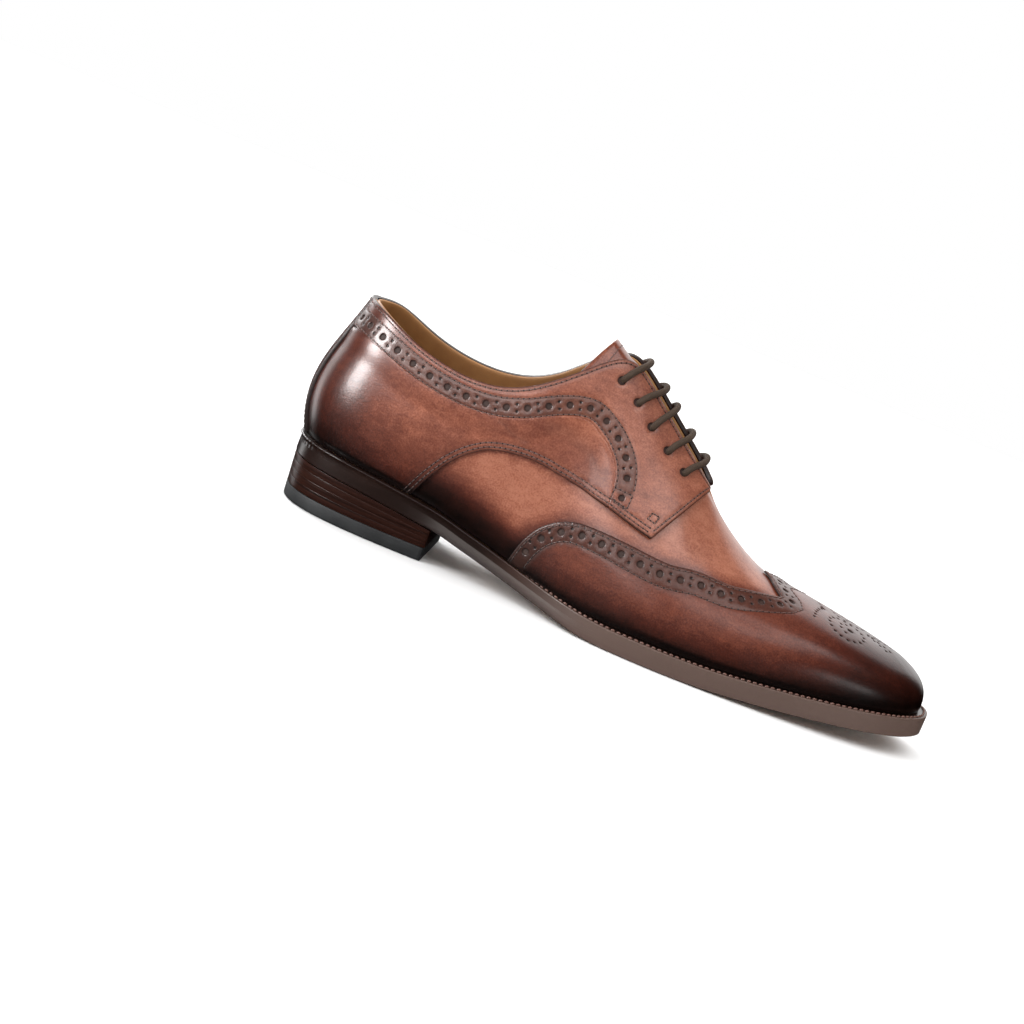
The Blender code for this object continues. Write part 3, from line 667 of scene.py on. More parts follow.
def make_panel(name, chart, outline, part, height, material, replaces, holes=(), rows=(), creases=(),
               edge=EDGE_DROP, soft=(), lined=False, band=None):
    """Leather panel with cut edges, punched holes, sewn grooves and creases.

    holes are (centre, radius), creases are (line, depth, width), rows are sewn lines, and soft are lines
    where the edge runs on into the next panel. A lined panel shows its lining along its top edge. band is
    (points of a line, inner, outer): the leather is greyer up to the outer distance from it.
    """
    ring = cut_ring(chart, outline)
    # Each hole gets a floor below it, dark with painted shade.
    for centre, radius in holes:
        wider = chart.circle(centre, radius + HOLE_ROOM, 14)
        floor = chart.lift(wider, height(chart, wider) - (0.65 if radius > LARGE_HOLE else 0.45))
        HOLE_FLOORS.append((floor[::chart.sign], radius > LARGE_HOLE))
    ab, faces = triangles(chart, ring, holes, rows, creases)
    p = chart.flat(ab)
    from_edge = distances(p, chart.track(np.vstack([ring, ring[:1]]), 0.4))[0]
    drop = np.full(len(ab), edge)
    loose = np.zeros(len(ab), bool)
    for row in soft:
        near = distances(p, chart.track(row, 0.5))[0]
        drop[near < SOFT_REACH] = 0.0
        loose |= near < 0.1
    h = height(chart, ab) - drop * bell(from_edge, EDGE_WIDE)
    # Dark along the pressed cut edges: edge dye and painted shade.
    edge_dye_and_shade = 0.9 * bell(from_edge, 0.55) * (drop > 0.2)
    # Stitch rows are grooves with painted shade in them.
    if rows:
        far = distances(p, np.vstack([chart.track(r, 0.4) for r in rows]))[0]
        h = h - 0.18 * bell(far, 0.45)
        edge_dye_and_shade = np.maximum(edge_dye_and_shade, 0.24 * bell(far, 0.6))
    # Creases are troughs with painted shade in them.
    for row, depth, wide in creases:
        far = distances(p, chart.track(row, 0.4))[0]
        h = h - depth * bell(far, wide) + 0.45 * depth * bell(far - 2 * wide, wide)
        edge_dye_and_shade = np.maximum(edge_dye_and_shade, min(1.0, 1.6 * depth) * bell(far, wide))
    # Holes have sunken rims with painted shade round them.
    if holes:
        far, radius = nearest_hole(chart, holes, p)
        h = h - 0.16 * bell(far - radius, 0.3)
        edge_dye_and_shade = np.maximum(edge_dye_and_shade, 0.75 * bell(np.maximum(far - radius, 0), 0.35))
    grey = np.zeros(len(ab))
    if band:
        grey = 1 - smooth(band[1], band[2], distances(p, band[0])[0])
    paint = np.column_stack([np.clip(burnish_and_crevice_shade(part, p), 0, 1), edge_dye_and_shade, grey])

    outer = chart.lift(ab, h)
    if chart.sign < 0:
        faces = faces[:, ::-1]
    faces = [tuple(int(i) for i in f) for f in faces]
    pairs = dict.fromkeys((f[i], f[(i + 1) % 3]) for f in faces for i in range(3))
    rim = [(a, b) for a, b in pairs if (b, a) not in pairs]
    rim_points = sorted({i for e in rim for i in e})
    number = {i: len(ab) + n for n, i in enumerate(rim_points)}
    shift = len(rim_points)
    under = chart.lift(ab[rim_points], np.full(shift, PANEL_IN))
    middle = outer[rim_points] + (under - outer[rim_points]) * 0.4
    # The walls of the cut edges get the dark edge dye.
    rim_paint = paint[rim_points].copy()
    rim_paint[:, 1] = 1.0
    top = (ab[:, 1] > 0.985) & lined
    kinds = [0] * len(faces)
    for a, b in rim:
        if loose[a] and loose[b]:
            continue
        m, n = number[a], number[b]
        faces += [(b, a, m, n), (n, m, m + shift, n + shift)]
        kinds += [0, int(top[a] and top[b])]
    points, faces, paint, kinds = weld(np.vstack([outer, middle, under]), faces,
                                       np.vstack([paint, rim_paint, rim_paint]), kinds)
    return add_mesh(name, points, faces, [material, LINING], paint, kinds, replaces)


# Node helpers for the materials.
def new_material(name):
    material = bpy.data.materials.new(name)
    material.use_nodes = True
    tree = material.node_tree
    return material, tree, tree.nodes["Principled BSDF"]


def node(tree, kind, **values):
    n = tree.nodes.new(kind)
    for key, value in values.items():
        if hasattr(n, key):
            setattr(n, key, value)
        else:
            n.inputs[key.replace("_", " ")].default_value = value
    return n


def link(tree, a, b):
    tree.links.new(a, b)


def ramp(tree, value, stops):
    n = tree.nodes.new("ShaderNodeValToRGB")
    while len(n.color_ramp.elements) < len(stops):
        n.color_ramp.elements.new(0.5)
    for element, (at, colour) in zip(n.color_ramp.elements, stops):
        element.position = at
        element.color = (*colour, 1.0)
    link(tree, value, n.inputs["Fac"])
    return n.outputs["Color"]


def maths(tree, operation, a, b):
    n = node(tree, "ShaderNodeMath", operation=operation)
    for socket, value in zip(n.inputs, (a, b)):
        if isinstance(value, (int, float)):
            socket.default_value = value
        else:
            link(tree, value, socket)
    return n.outputs[0]


def mix(tree, share, a, b):
    n = node(tree, "ShaderNodeMix", data_type="RGBA")
    for socket, value in zip((n.inputs[0], n.inputs[6], n.inputs[7]), (share, a, b)):
        if isinstance(value, (int, float)):
            socket.default_value = value
        elif isinstance(value, tuple):
            socket.default_value = (*value, 1.0)
        else:
            link(tree, value, socket)
    return n.outputs[2]


def noise(tree, scale, detail=3.0, stretch=(1, 1, 1), rough=0.55, turn=(0, 0, 0)):
    where = node(tree, "ShaderNodeTexCoord")
    mapping = node(tree, "ShaderNodeMapping")
    mapping.inputs["Scale"].default_value = stretch
    mapping.inputs["Rotation"].default_value = turn
    link(tree, where.outputs["Object"], mapping.inputs["Vector"])
    n = node(tree, "ShaderNodeTexNoise", Scale=scale, Detail=detail, Roughness=rough)
    link(tree, mapping.outputs["Vector"], n.inputs["Vector"])
    return n.outputs["Fac"]


def bump(tree, shader, height, strength, distance):
    n = node(tree, "ShaderNodeBump", Strength=strength, Distance=distance)
    link(tree, height, n.inputs["Height"])
    if shader.inputs["Normal"].is_linked:
        link(tree, shader.inputs["Normal"].links[0].from_socket, n.inputs["Normal"])
    link(tree, n.outputs["Normal"], shader.inputs["Normal"])


def painted(tree):
    """Channels of the paint on a mesh; on the leather: burnish with painted shade, edge dye with painted
    shade, and grey band.
    """
    layer = node(tree, "ShaderNodeAttribute", attribute_name="paint")
    parts = node(tree, "ShaderNodeSeparateColor")
    link(tree, layer.outputs["Color"], parts.inputs["Color"])
    return parts.outputs


def vary(tree, tone, texture, amount):
    """The tone, made darker and paler by a texture."""
    change = maths(tree, "MULTIPLY", maths(tree, "SUBTRACT", texture, 0.5), amount)
    return maths(tree, "ADD", tone, change)


def set_gloss(shader, shine, coat):
    for key, value in (("Specular IOR Level", shine), ("Coat Weight", coat), ("Coat Roughness", 0.2)):
        shader.inputs[key].default_value = value


LEATHER_STOPS = [(0.0, (0.345, 0.125, 0.073)), (0.12, (0.240, 0.074, 0.040)), (0.25, (0.135, 0.0330, 0.0168)),
                 (0.45, (0.057, 0.0105, 0.0050)), (0.70, (0.019, 0.0036, 0.0018)),
                 (1.0, (0.003, 0.0008, 0.0005))]
BAND_COLOUR = (0.042, 0.0170, 0.0120)
# Dark brown of the dyed cut edges and of the painted shade in grooves, creases and round holes; also the
# thread's darkest tone.
EDGE_DYE_AND_SHADE_COLOUR = (0.022, 0.011, 0.009)


def leather(name, gloss, shine):
    """Polished calf: colour by the painted burnish and painted shade, darkened by edge dye and painted shade
    along edges, grooves, creases and holes, with mottle, fine streaks and grain.
    """
    material, tree, shader = new_material(name)
    burnish_and_shade, edge_dye_and_shade, band = painted(tree)[:3]
    mottle = noise(tree, 55.0, 4.0)
    spots = noise(tree, 170.0, 3.0)
    streak = noise(tree, 420.0, 2.0, (0.35, 1, 1), 0.5, (0, 0.7, 0))
    grain = noise(tree, 1300.0, 2.0)
    tone = burnish_and_shade
    for texture, amount in ((mottle, 0.22), (streak, 0.16), (spots, 0.15), (grain, 0.32)):
        tone = vary(tree, tone, texture, amount)
    colour = ramp(tree, tone, LEATHER_STOPS)
    colour = mix(tree, maths(tree, "MULTIPLY", band, 0.62), colour, BAND_COLOUR)
    link(tree, mix(tree, edge_dye_and_shade, colour, EDGE_DYE_AND_SHADE_COLOUR), shader.inputs["Base Color"])
    rough = maths(tree, "ADD", maths(tree, "MULTIPLY", mottle, 0.16), gloss - 0.08)
    rough = maths(tree, "ADD", rough, maths(tree, "MULTIPLY", edge_dye_and_shade, 0.2))
    link(tree, rough, shader.inputs["Roughness"])
    set_gloss(shader, shine, 0.75 * shine)
    bump(tree, shader, grain, 0.32, 0.0002)
    bump(tree, shader, streak, 0.10, 0.0003)
    return material


def simple(name, dark, pale, scale, rough, grain, stretch=(1, 1, 1), coat=0.0, depth=0.0002, shine=0.3):
    """Plain material with mottled colour, varied roughness and a grain."""
    material, tree, shader = new_material(name)
    patch = noise(tree, scale, 4.0, stretch)
    link(tree, ramp(tree, patch, [(0.3, dark), (0.7, pale)]), shader.inputs["Base Color"])
    rough = maths(tree, "ADD", maths(tree, "MULTIPLY", patch, 0.2), rough - 0.1)
    link(tree, rough, shader.inputs["Roughness"])
    set_gloss(shader, shine, coat)
    bump(tree, shader, noise(tree, grain, 2.0, stretch), 0.2, depth)
    return material


def sole_edge_material():
    """Painted leather edge: grey-brown round the forefoot, nearly black red-brown at the waist and heel, with
    painted shade along the welt's top and a painted grey reflection of the floor on the waist's bevel.
    """
    material, tree, shader = new_material("sole_edge")
    dark, grey = painted(tree)[:2]
    along = (0.25, 0.25, 2.2)
    tone = vary(tree, dark, noise(tree, 40.0, 4.0, along), 0.3)
    colour = ramp(tree, tone, [(0.0, (0.105, 0.064, 0.050)), (0.25, (0.076, 0.044, 0.034)),
                               (0.7, (0.040, 0.017, 0.011)), (1.0, (0.012, 0.005, 0.0035))])
    # Painted reflection: the second channel mixes in the grey of the floor mirrored in the waist's bevel.
    link(tree, mix(tree, grey, colour, (0.19, 0.17, 0.16)), shader.inputs["Base Color"])
    rough = maths(tree, "SUBTRACT", 0.52, maths(tree, "MULTIPLY", dark, 0.22))
    link(tree, rough, shader.inputs["Roughness"])
    set_gloss(shader, 0.3, 0.12)
    bump(tree, shader, noise(tree, 900.0, 2.0, along), 0.15, 0.0002)
    marks = node(tree, "ShaderNodeAttribute", attribute_name="marks")
    bump(tree, shader, marks.outputs["Fac"], 0.5, 0.0004)
    return material


def thread_material():
    material, tree, shader = new_material("thread")
    layer = node(tree, "ShaderNodeAttribute", attribute_name="paint")
    colour = ramp(tree, layer.outputs["Fac"], [(0.0, EDGE_DYE_AND_SHADE_COLOUR), (0.4, (0.085, 0.036, 0.027)),
                                               (0.75, (0.25, 0.120, 0.088)), (1.0, (0.40, 0.33, 0.27))])
    link(tree, colour, shader.inputs["Base Color"])
    shader.inputs["Roughness"].default_value = 0.55
    bump(tree, shader, noise(tree, 2600.0, 1.0), 0.3, 0.0001)
    return material


def lace_material():
    material, tree, shader = new_material("waxed_cord")
    where = node(tree, "ShaderNodeUVMap", uv_map="weave")
    weave = node(tree, "ShaderNodeTexWave", Scale=1.0, Distortion=0.4)
    link(tree, where.outputs["UV"], weave.inputs["Vector"])
    colour = ramp(tree, weave.outputs["Fac"], [(0.0, (0.020, 0.0115, 0.0075)), (0.6, (0.062, 0.038, 0.024)),
                                               (1.0, (0.100, 0.064, 0.042))])
    link(tree, colour, shader.inputs["Base Color"])
    shader.inputs["Roughness"].default_value = 0.72
    shader.inputs["Specular IOR Level"].default_value = 0.2
    bump(tree, shader, noise(tree, 2400.0, 2.0), 0.5, 0.0003)
    bump(tree, shader, weave.outputs["Fac"], 0.6, 0.0003)
    return material


UPPER_LEATHER = leather("upper_calf", 0.31, 0.4)
WING_LEATHER = leather("wing_calf", 0.32, 0.28)
LINING = simple("lining_calf", (0.26, 0.115, 0.035), (0.36, 0.17, 0.055), 60, 0.62, 1400)
SOCK = simple("sock_calf", (0.28, 0.135, 0.05), (0.36, 0.185, 0.07), 50, 0.6, 1400)
SOLE_UNDER = simple("sole_under", (0.20, 0.115, 0.066), (0.27, 0.16, 0.095), 45, 0.5, 1200)
HEEL_STACK = simple("heel_stack", (0.009, 0.0026, 0.0014), (0.030, 0.0082, 0.0042), 60, 0.36, 700,
                    (0.3, 0.3, 30.0), 0.08, 0.0001, 0.12)
RUBBER = simple("rubber", (0.012, 0.0125, 0.013), (0.021, 0.022, 0.023), 90, 0.6, 1800)
# Dark dye of cut edges, and the painted shade of the needle holes and small hole floors.
EDGE_PAINT_AND_HOLE_SHADE = simple("edge_paint_and_hole_shade", (0.012, 0.008, 0.007), (0.022, 0.014, 0.012), 80, 0.45, 900)
# Floors of the large holes and eyelets, dark brown with painted shade.
HOLE_FLOOR = simple("hole_floor", (0.024, 0.0105, 0.0075), (0.052, 0.025, 0.0185), 300, 0.7, 1500)
SOLE_EDGE_PAINT = sole_edge_material()
THREAD = thread_material()
LACE = lace_material()


# Heights of the panels' outer faces.
def level(distance):
    return lambda chart, ab: np.full(len(ab), distance)


def quarter_height(chart, ab):
    """The quarter swells up to the collar piece, so that the seam between them hardly shows."""
    edge = chart.track(curve(trim_low, 1.0, 9.0, 160), 0.8)
    far = distances(chart.flat(ab), edge)[0]
    return PANEL_OUT + (TRIM_OUT - PANEL_OUT) * (1 - smooth(0.5, 11.0, far))


def side_height(chart, ab):
    """Quarter and collar piece together, for the rows that cross from one to the other."""
    above = (ab[:, 1] > trim_low(ab[:, 0])) | (ab[:, 0] > TRIM_EDGE[-1][0])
    return np.where(above, TRIM_OUT, quarter_height(chart, ab))


# Upper: the wall with its lining, open at the collar, the throat and underneath.
def make_wall():
    us = np.arange(0, TURN, 0.125)
    vs = np.concatenate([[0, 0.006], np.linspace(0.025, 0.975, 40), [0.994, 1.0]])
    u, v = np.meshgrid(us, vs, indexing="ij")
    n = normal(u, v)
    p = surface(u, v)
    rolled = 0.35 * (np.exp(-((1 - v) / 0.006) ** 2) * (station(u) < THROAT))
    outer = p + n * (BASE - rolled)[..., None]
    inner = p + n * (BASE - WALL + rolled)[..., None]
    for q in (outer, inner):
        q[..., 2] = np.maximum(q[..., 2], welt_top(q[..., 0]) + GAP)
    nu, nv = u.shape
    count = nu * nv
    index = np.arange(count).reshape(nu, nv)
    after = np.roll(index, -1, 0)
    quads = np.stack([index[:, :-1], after[:, :-1], after[:, 1:], index[:, 1:]], -1).reshape(-1, 4)
    faces = [tuple(q) for q in quads] + [tuple(q[::-1] + count) for q in quads]
    kinds = [0] * len(quads) + [1] * len(quads)
    for i in range(nu):
        j = (i + 1) % nu
        faces.append((index[j, 0], index[i, 0], index[i, 0] + count, index[j, 0] + count))
        kinds.append(0)
        if min(station(us[i]), station(us[j])) < THROAT:
            faces.append((index[i, -1], index[j, -1], index[j, -1] + count, index[i, -1] + count))
            kinds.append(1)
    points = np.vstack([outer.reshape(-1, 3), inner.reshape(-1, 3)])
    tone = burnish_and_crevice_shade("vamp", points)
    edge = TOE.even(wing_line(), 1.0)
    wing = np.vstack([TOE.flat(edge), TOE.flat(other_side(edge))])
    edge = LATERAL.even(curve(quarter_low, QUARTER_EDGE[0][0], QUARTER_EDGE[-1][0], 200), 1.0)
    quarter = np.vstack([LATERAL.flat(edge), MEDIAL.flat(edge)])
    # Painted shade on the vamp along the edges of the wing and the quarter that lie on it.
    for overlap_edge, reach, amount in ((wing, 3.6, 0.22), (quarter, 1.6, 0.28)):
        tone = tone + amount * bell(distances(points, overlap_edge)[0], reach)
    points, faces, paint, kinds = weld(points, faces, np.clip(tone, 0, 1)[:, None], kinds)
    add_mesh("vamp", points, faces, [UPPER_LEATHER, LINING], paint, kinds, ["upper"])


def wing_line():
    """Edge of the lateral wing from the welt to the valley, then back up to the peak, in the toe chart."""
    wing = curve(wing_high, WING_EDGE[0][0], VALLEY, 200)
    both = np.vstack([wing, curve(peak_low, VALLEY, PEAK_EDGE[0][0], 40)[1:]])
    both[:, 1] -= 1
    return both


def tip_line(first, last):
    """The toe's middle line, where the wing's chart meets itself."""
    return np.column_stack([np.full(60, float(TIP)), np.linspace(first, last, 60)])


def other_side(ab):
    return np.column_stack([ab[:, 0], -ab[:, 1]])


def band_holes(chart, row, pitch, big, small, spread, first):
    """Large holes along a line, with a pair of small ones across it between each two."""
    fine = chart.even(row, 0.25)
    run = run_of(chart.flat(fine))
    last = run[-1]
    count = max(1, int(round((last - first) / pitch)))
    found = []
    for i in range(2 * count + 1):
        s = first + (last - first) * i / (2 * count)
        at = at_run([s], run, fine)
        if i % 2 == 0:
            found.append((tuple(at[0]), big))
            continue
        j = max(min(int(np.searchsorted(run, s)), len(fine) - 2), 1)
        t = chart.flat(fine[j + 1:j + 2]) - chart.flat(fine[j - 1:j])
        side = np.cross(chart.normal(at), t / np.linalg.norm(t))
        for way in (-spread, spread):
            found.append((tuple((at + chart.step(at, side * way))[0]), small))
    return found


def medallion():
    """Punched figure on the toe, the same on both sides of the ridge: x, y from the ridge, radius."""
    figure = [(260.0, 10.5, 1.5), (245.6, 0.0, 1.3)]
    for turn in range(16):
        a = math.radians(turn * 22.5 + 11)
        figure.append((258.2 + 8.6 * math.cos(a), 11.4 + 10.4 * math.sin(a), 0.68))
    for turn in range(4):
        a = math.radians(115 + turn * 42)
        figure.append((260.0 + 5.0 * math.cos(a), 10.5 + 6.0 * math.sin(a), 0.6))
    for i in range(6):
        figure.append((242.7 + 0.14 * (i - 1) ** 2, 18.4 - 3.1 * i, 0.6))
    for i in range(4):
        figure.append((268.6 + 3.1 * i, 0.9 + 2.1 * i, 0.6))
        figure.append((270.8 + 3.0 * i, 0.7 + 1.3 * i, 0.6))
    return figure


def plan_to_toe(x, y):
    """Toe chart point over a place seen from above; y is counted from the ridge."""
    k = np.linspace(12.5, 17.4, 300)
    b = np.linspace(-0.6, 0.6, 161)
    kk, bb = np.meshgrid(k, b, indexing="ij")
    ab = np.column_stack([kk.ravel(), bb.ravel()])
    p = TOE.flat(ab)
    ridge = np.interp(p[:, 0], [188, 211.5, 237, 258, 281], [0, 0.3, 1.0, 1.8, 2.0])
    targets = np.column_stack([p[:, 0], p[:, 1] - ridge, np.zeros(len(p))])
    _, which = distances([(px, py, 0.0) for px, py in zip(x, y)], targets)
    return ab[which]


def wing_band(k):
    """Width of the punched band along the wing's edge, which grows towards the toe."""
    return np.interp(k, [6.7, 8.0, 9.0, 10.5, 12.5], [8.0, 8.6, 9.4, 10.8, 11.0])


def make_wing():
    edge = wing_line()
    ring = np.vstack([
        np.column_stack([np.linspace(6.7, TIP, 160), np.full(160, -1.0)]),
        tip_line(-1.0, 1.0),
        np.column_stack([np.linspace(TIP, 6.7, 160), np.full(160, 1.0)]),
        other_side(edge), edge[::-1][1:]])
    near = TOE.beside(edge, -1.5)
    middle = TOE.beside(edge, lambda k: -0.52 * wing_band(k), 8)
    far = TOE.beside(edge, lambda k: -wing_band(k), 12)
    rows = []
    for row in (near, far):
        row = row[(row[:, 1] < -0.004) & (row[:, 1] > -0.985)]
        rows += [row, other_side(row)]
    middle = middle[(middle[:, 1] < -0.004) & (middle[:, 1] > -0.95)]
    middle = np.vstack([middle, [(middle[-1, 0], 0.0)]])
    holes = band_holes(TOE, middle, 9.3, 1.5, 0.55, 1.7, 3.0)
    holes += [((a, -b), radius) for (a, b), radius in holes if b < -0.006]
    x, y, radii = zip(*medallion())
    for (a, b), off, radius in zip(plan_to_toe(x, [-c for c in y]), y, radii):
        holes.append(((a, b), radius))
        if off > 0.5:
            holes.append(((a, -b), radius))
    band = np.vstack([TOE.flat(middle), TOE.flat(other_side(middle))])
    height = level(PANEL_OUT)
    make_panel("wing", TOE, np.vstack([ring, ring[:1]]), "wing", height, WING_LEATHER,
               ["wing_cap"], holes, rows, soft=[tip_line(-1.0, 0.0)], band=(band, 4.2, 6.0))
    for row in rows:
        sew(TOE, row, height, 0.44, 2.8)


def side_rows(chart):
    """Rows of stitches on one side, and the line of the collar's holes."""
    low = curve(quarter_low, QUARTER_EDGE[0][0], QUARTER_EDGE[-1][0], 200)
    front = curve(quarter_front, QUARTER_FRONT[0][0], QUARTER_FRONT[-1][0], 80)
    holes_line = curve(line(COLLAR_LINE), strip_half(0.87) + 0.15, 8.95, 240)
    tail = np.array([(8.95, 0.629), (9.08, 0.605), (9.15, 0.579), (9.2, 0.545)])
    holes_line = np.vstack([holes_line[:-1], tail])
    top = np.column_stack([np.linspace(strip_half(1.0) + 0.1, 11.15, 240), np.full(240, 1.0)])
    rows = {
        "edge one": chart.beside(low, 1.5),
        "edge two": chart.beside(low, 3.4),
        "front": chart.beside(front, 1.8),
        "top": chart.beside(top, -1.7),
        "collar low": chart.beside(holes_line, -4.0),
        "collar high": chart.beside(holes_line, 4.0),
        "box": np.array(BOX),
        "tack": np.array([(10.0, 0.528), (10.06, 0.566), (10.24, 0.574), (10.2, 0.536), (10.0, 0.528)]),
    }
    for name, least in (("front", 0.50), ("collar low", 0.52), ("collar high", 0.52)):
        rows[name] = rows[name][rows[name][:, 1] > least]
    for name in ("edge one", "edge two"):
        rows[name] = rows[name][rows[name][:, 0] < 10.2]
    return rows, holes_line


def under_strip(first, last, count):
    """Rear edge of a panel, just under the back strip."""
    v = np.linspace(first, last, count)
    return np.column_stack([strip_half(v) - STRIP_COVER, v])


def make_side(name, chart):
    rows, holes_line = side_rows(chart)
    rear = under_strip(0, TRIM_EDGE[0][1] - 0.004, 40)
    under_trim = curve(lambda k: trim_low(k) - 0.0004, 1.12, 8.995, 260)
    low = curve(quarter_low, QUARTER_EDGE[0][0], 8.995, 200)
    foot = curve(np.zeros_like, QUARTER_EDGE[0][0], rear[0, 0], 60)
    ring = np.vstack([rear, under_trim, low[::-1], foot[1:]])
    in_quarter = [rows["edge one"], rows["edge two"]]
    crease = np.array([(5.28, 0.765), (5.45, 0.735), (5.62, 0.695), (5.85, 0.660), (6.1, 0.632)])
    soft_fold = np.array([(6.6, 0.70), (7.3, 0.62), (8.0, 0.55), (8.5, 0.50)])
    make_panel("quarter_%s_skin" % name, chart, ring, "quarter", quarter_height, UPPER_LEATHER,
               ["quarter_" + name], (), in_quarter,
               [(crease, 0.14, 0.6), (soft_fold, 0.10, 3.6)], soft=[under_trim, rear])

    rear = under_strip(TRIM_EDGE[0][1], 1.0, 20)
    top = curve(np.ones_like, rear[-1, 0], 11.16, 300)
    corner = np.array([(11.21, 0.994), (11.235, 0.975)])
    front = curve(quarter_front, QUARTER_FRONT[-1][0], QUARTER_FRONT[0][0], 100)
    base = curve(quarter_low, QUARTER_EDGE[-1][0], TRIM_EDGE[-1][0], 50)[1:]
    trim = curve(trim_low, TRIM_EDGE[-1][0], 1.12, 300)
    ring = np.vstack([rear, top[1:], corner, front, base, trim])
    holes = band_holes(chart, np.vstack([holes_line, [BOX_HOLE]]), 8.9, 1.4, 0.5, 1.55, 1.5)
    del holes[-3:-1]
    holes += [((k, v), EYELET_R) for k, v, _ in EYELETS]
    in_trim = [rows[key] for key in ("front", "top", "collar low", "collar high", "box", "tack")] + in_quarter
    wrinkles = []
    for i in range(4):
        fold = [(9.55 + 0.15 * i, 0.612 - 0.014 * i), (9.74 + 0.14 * i, 0.588 - 0.010 * i),
                (9.90 + 0.12 * i, 0.572 - 0.006 * i)]
        wrinkles.append((np.array(fold), 0.035, 0.4))
    make_panel("facing_%s_skin" % name, chart, np.vstack([ring, ring[:1]]), "facing", level(TRIM_OUT),
               UPPER_LEATHER, ["facing_" + name], holes, in_trim, wrinkles,
               soft=[trim, rear], lined=name == "lateral", band=(chart.track(holes_line, 0.8), 3.4, 4.6))
    for key, row in rows.items():
        sew(chart, row, side_height, 0.46, 1.6 if key == "tack" else PITCH)


def make_strip():
    v = np.linspace(0, 1, 80)
    right = np.column_stack([strip_half(v), v])
    left = np.column_stack([-strip_half(v), v])
    top = curve(np.ones_like, strip_half(1.0), -strip_half(1.0), 40)
    foot = curve(np.zeros_like, -strip_half(0.0), strip_half(0.0), 40)
    ring = np.vstack([foot, right[1:], top[1:], left[::-1][1:]])
    rows = [LATERAL.beside(right, 1.6), LATERAL.beside(left, -1.6)]
    rows = [r[(r[:, 1] > 0.01) & (r[:, 1] < 0.985)] for r in rows]
    row = LATERAL.beside(top, 1.7)
    rows.append(row[np.abs(row[:, 0]) < strip_half(1.0) - 0.12])
    height = level(TRIM_OUT + 0.35)
    make_panel("back_strip_skin", LATERAL, ring, "strip", height, UPPER_LEATHER,
               ["back_strip"], (), rows, edge=0.25)
    for row in rows:
        sew(LATERAL, row, height, 0.4)


def resample(points, count):
    """The same path with its points evenly spaced."""
    run = run_of(points)
    return at_run(np.linspace(0, run[-1], count), run, points)


def relax(path, rounds):
    """Rounds off a path, with its ends kept."""
    for _ in range(rounds):
        path[1:-1] = (path[:-2] + 2 * path[1:-1] + path[2:]) / 4
    return path


def across(k, depth, lowest, bow, lean=0.0, fine=40):
    """Path over the instep at a station, leaning forward: lateral side, over the throat, medial side."""
    ab = np.column_stack([k + np.linspace(0, lean, fine), np.linspace(lowest, 1.0, fine)])
    lat = LATERAL.lift(ab, np.full(fine, depth))
    med = MEDIAL.lift(ab, np.full(fine, depth))[::-1]
    gap = np.linalg.norm(med[0] - lat[-1])
    if gap < 0.5:
        return np.vstack([lat, med[1:]])
    t = np.linspace(0, 1, 13)[1:-1, None]
    out_lat = unit(lat[-1] - lat[-3]) * gap * bow
    out_med = unit(med[2] - med[0]) * gap * bow
    bridge = ((1 + 2 * t) * (1 - t) ** 2 * lat[-1] + t * (1 - t) ** 2 * out_lat
              + t * t * (3 - 2 * t) * med[0] + t * t * (t - 1) * out_med)
    return np.vstack([lat, bridge, med])


def middle_part(points, reach, count):
    """The part of a path within reach of its middle."""
    fine = resample(points, 321)
    step = np.linalg.norm(np.diff(fine, axis=0), axis=1).mean()
    n = min(160, int(reach / step))
    return resample(fine[160 - n:161 + n], count)


def make_tongue():
    count = 41
    layers = []
    for depth in (BASE - WALL - 0.5, BASE - WALL - 2.3):
        rows = [middle_part(across(k, depth, 0.5, 0.6), 33.0, count) for k in np.arange(12.6, 7.95, -0.115)]
        last = rows[-1]
        way = unit(last[count // 2] - rows[-9][count // 2])
        round_end = 3.0 * np.linspace(-1, 1, count) ** 2
        to_cut = ((last[count // 2] + way * 10.3 - last) @ way - round_end)[:, None]
        for share in np.linspace(0, 1, 13)[1:]:
            moved = last + way * to_cut * share
            moved[:, 1] *= 1 - 0.10 * share
            rows.append(moved)
        layers.append(np.array(rows))
    outer, inner = layers
    middle = (outer + inner) / 2
    for q in (outer, inner):
        for j, share in ((0, 0.9), (1, 0.35), (count - 1, 0.9), (count - 2, 0.35)):
            q[:, j] += (middle[:, j] - q[:, j]) * share * 0.5
        q[-1] += (middle[-1] - q[-1]) * 0.35
    n = outer.shape[0]
    size = n * count
    faces = grid_faces(n, count)
    kinds = [0] * len(faces)
    faces += [tuple(i + size for i in reversed(f)) for f in faces]
    kinds += [1] * len(kinds)
    index = np.arange(size).reshape(n, count)
    border = [*index[0], *index[1:, -1], *index[-1, -2::-1], *index[-2:0:-1, 0]]
    for a, b in zip(border, border[1:] + border[:1]):
        faces.append((b, a, a + size, b + size))
        kinds.append(2)
    points = np.vstack([outer.reshape(-1, 3), inner.reshape(-1, 3)])
    tone = 0.20 + 0.10 * smooth(150, 180, points[:, 0])
    add_mesh("tongue_skin", points, faces, [UPPER_LEATHER, LINING, EDGE_PAINT_AND_HOLE_SHADE],
             tone[:, None], kinds, ["tongue"])
    row = outer[-5, 4:-4]
    up = np.cross(outer[-5, 5:-3] - outer[-5, 3:-5], outer[-4, 4:-4] - outer[-6, 4:-4])
    up *= np.sign(up[len(up) // 2, 2]) / np.linalg.norm(up, axis=1, keepdims=True)
    keep_row(row, up, 0.46)


def make_throat():
    """The vamp's leather runs on between the facings, down to the tongue."""
    rows = []
    for k in np.linspace(12.1, 10.4, 24):
        depth = BASE - 0.05 - (WALL + 0.4) * float(smooth(11.9, 10.7, k))
        rows.append(middle_part(across(k, depth, 0.9, 0.6), 6.5, 15))
    points = np.array(rows).reshape(-1, 3)
    tone = burnish_and_crevice_shade("vamp", points)
    add_mesh("vamp_throat", points, grid_faces(24, 15), [UPPER_LEATHER], tone[:, None])


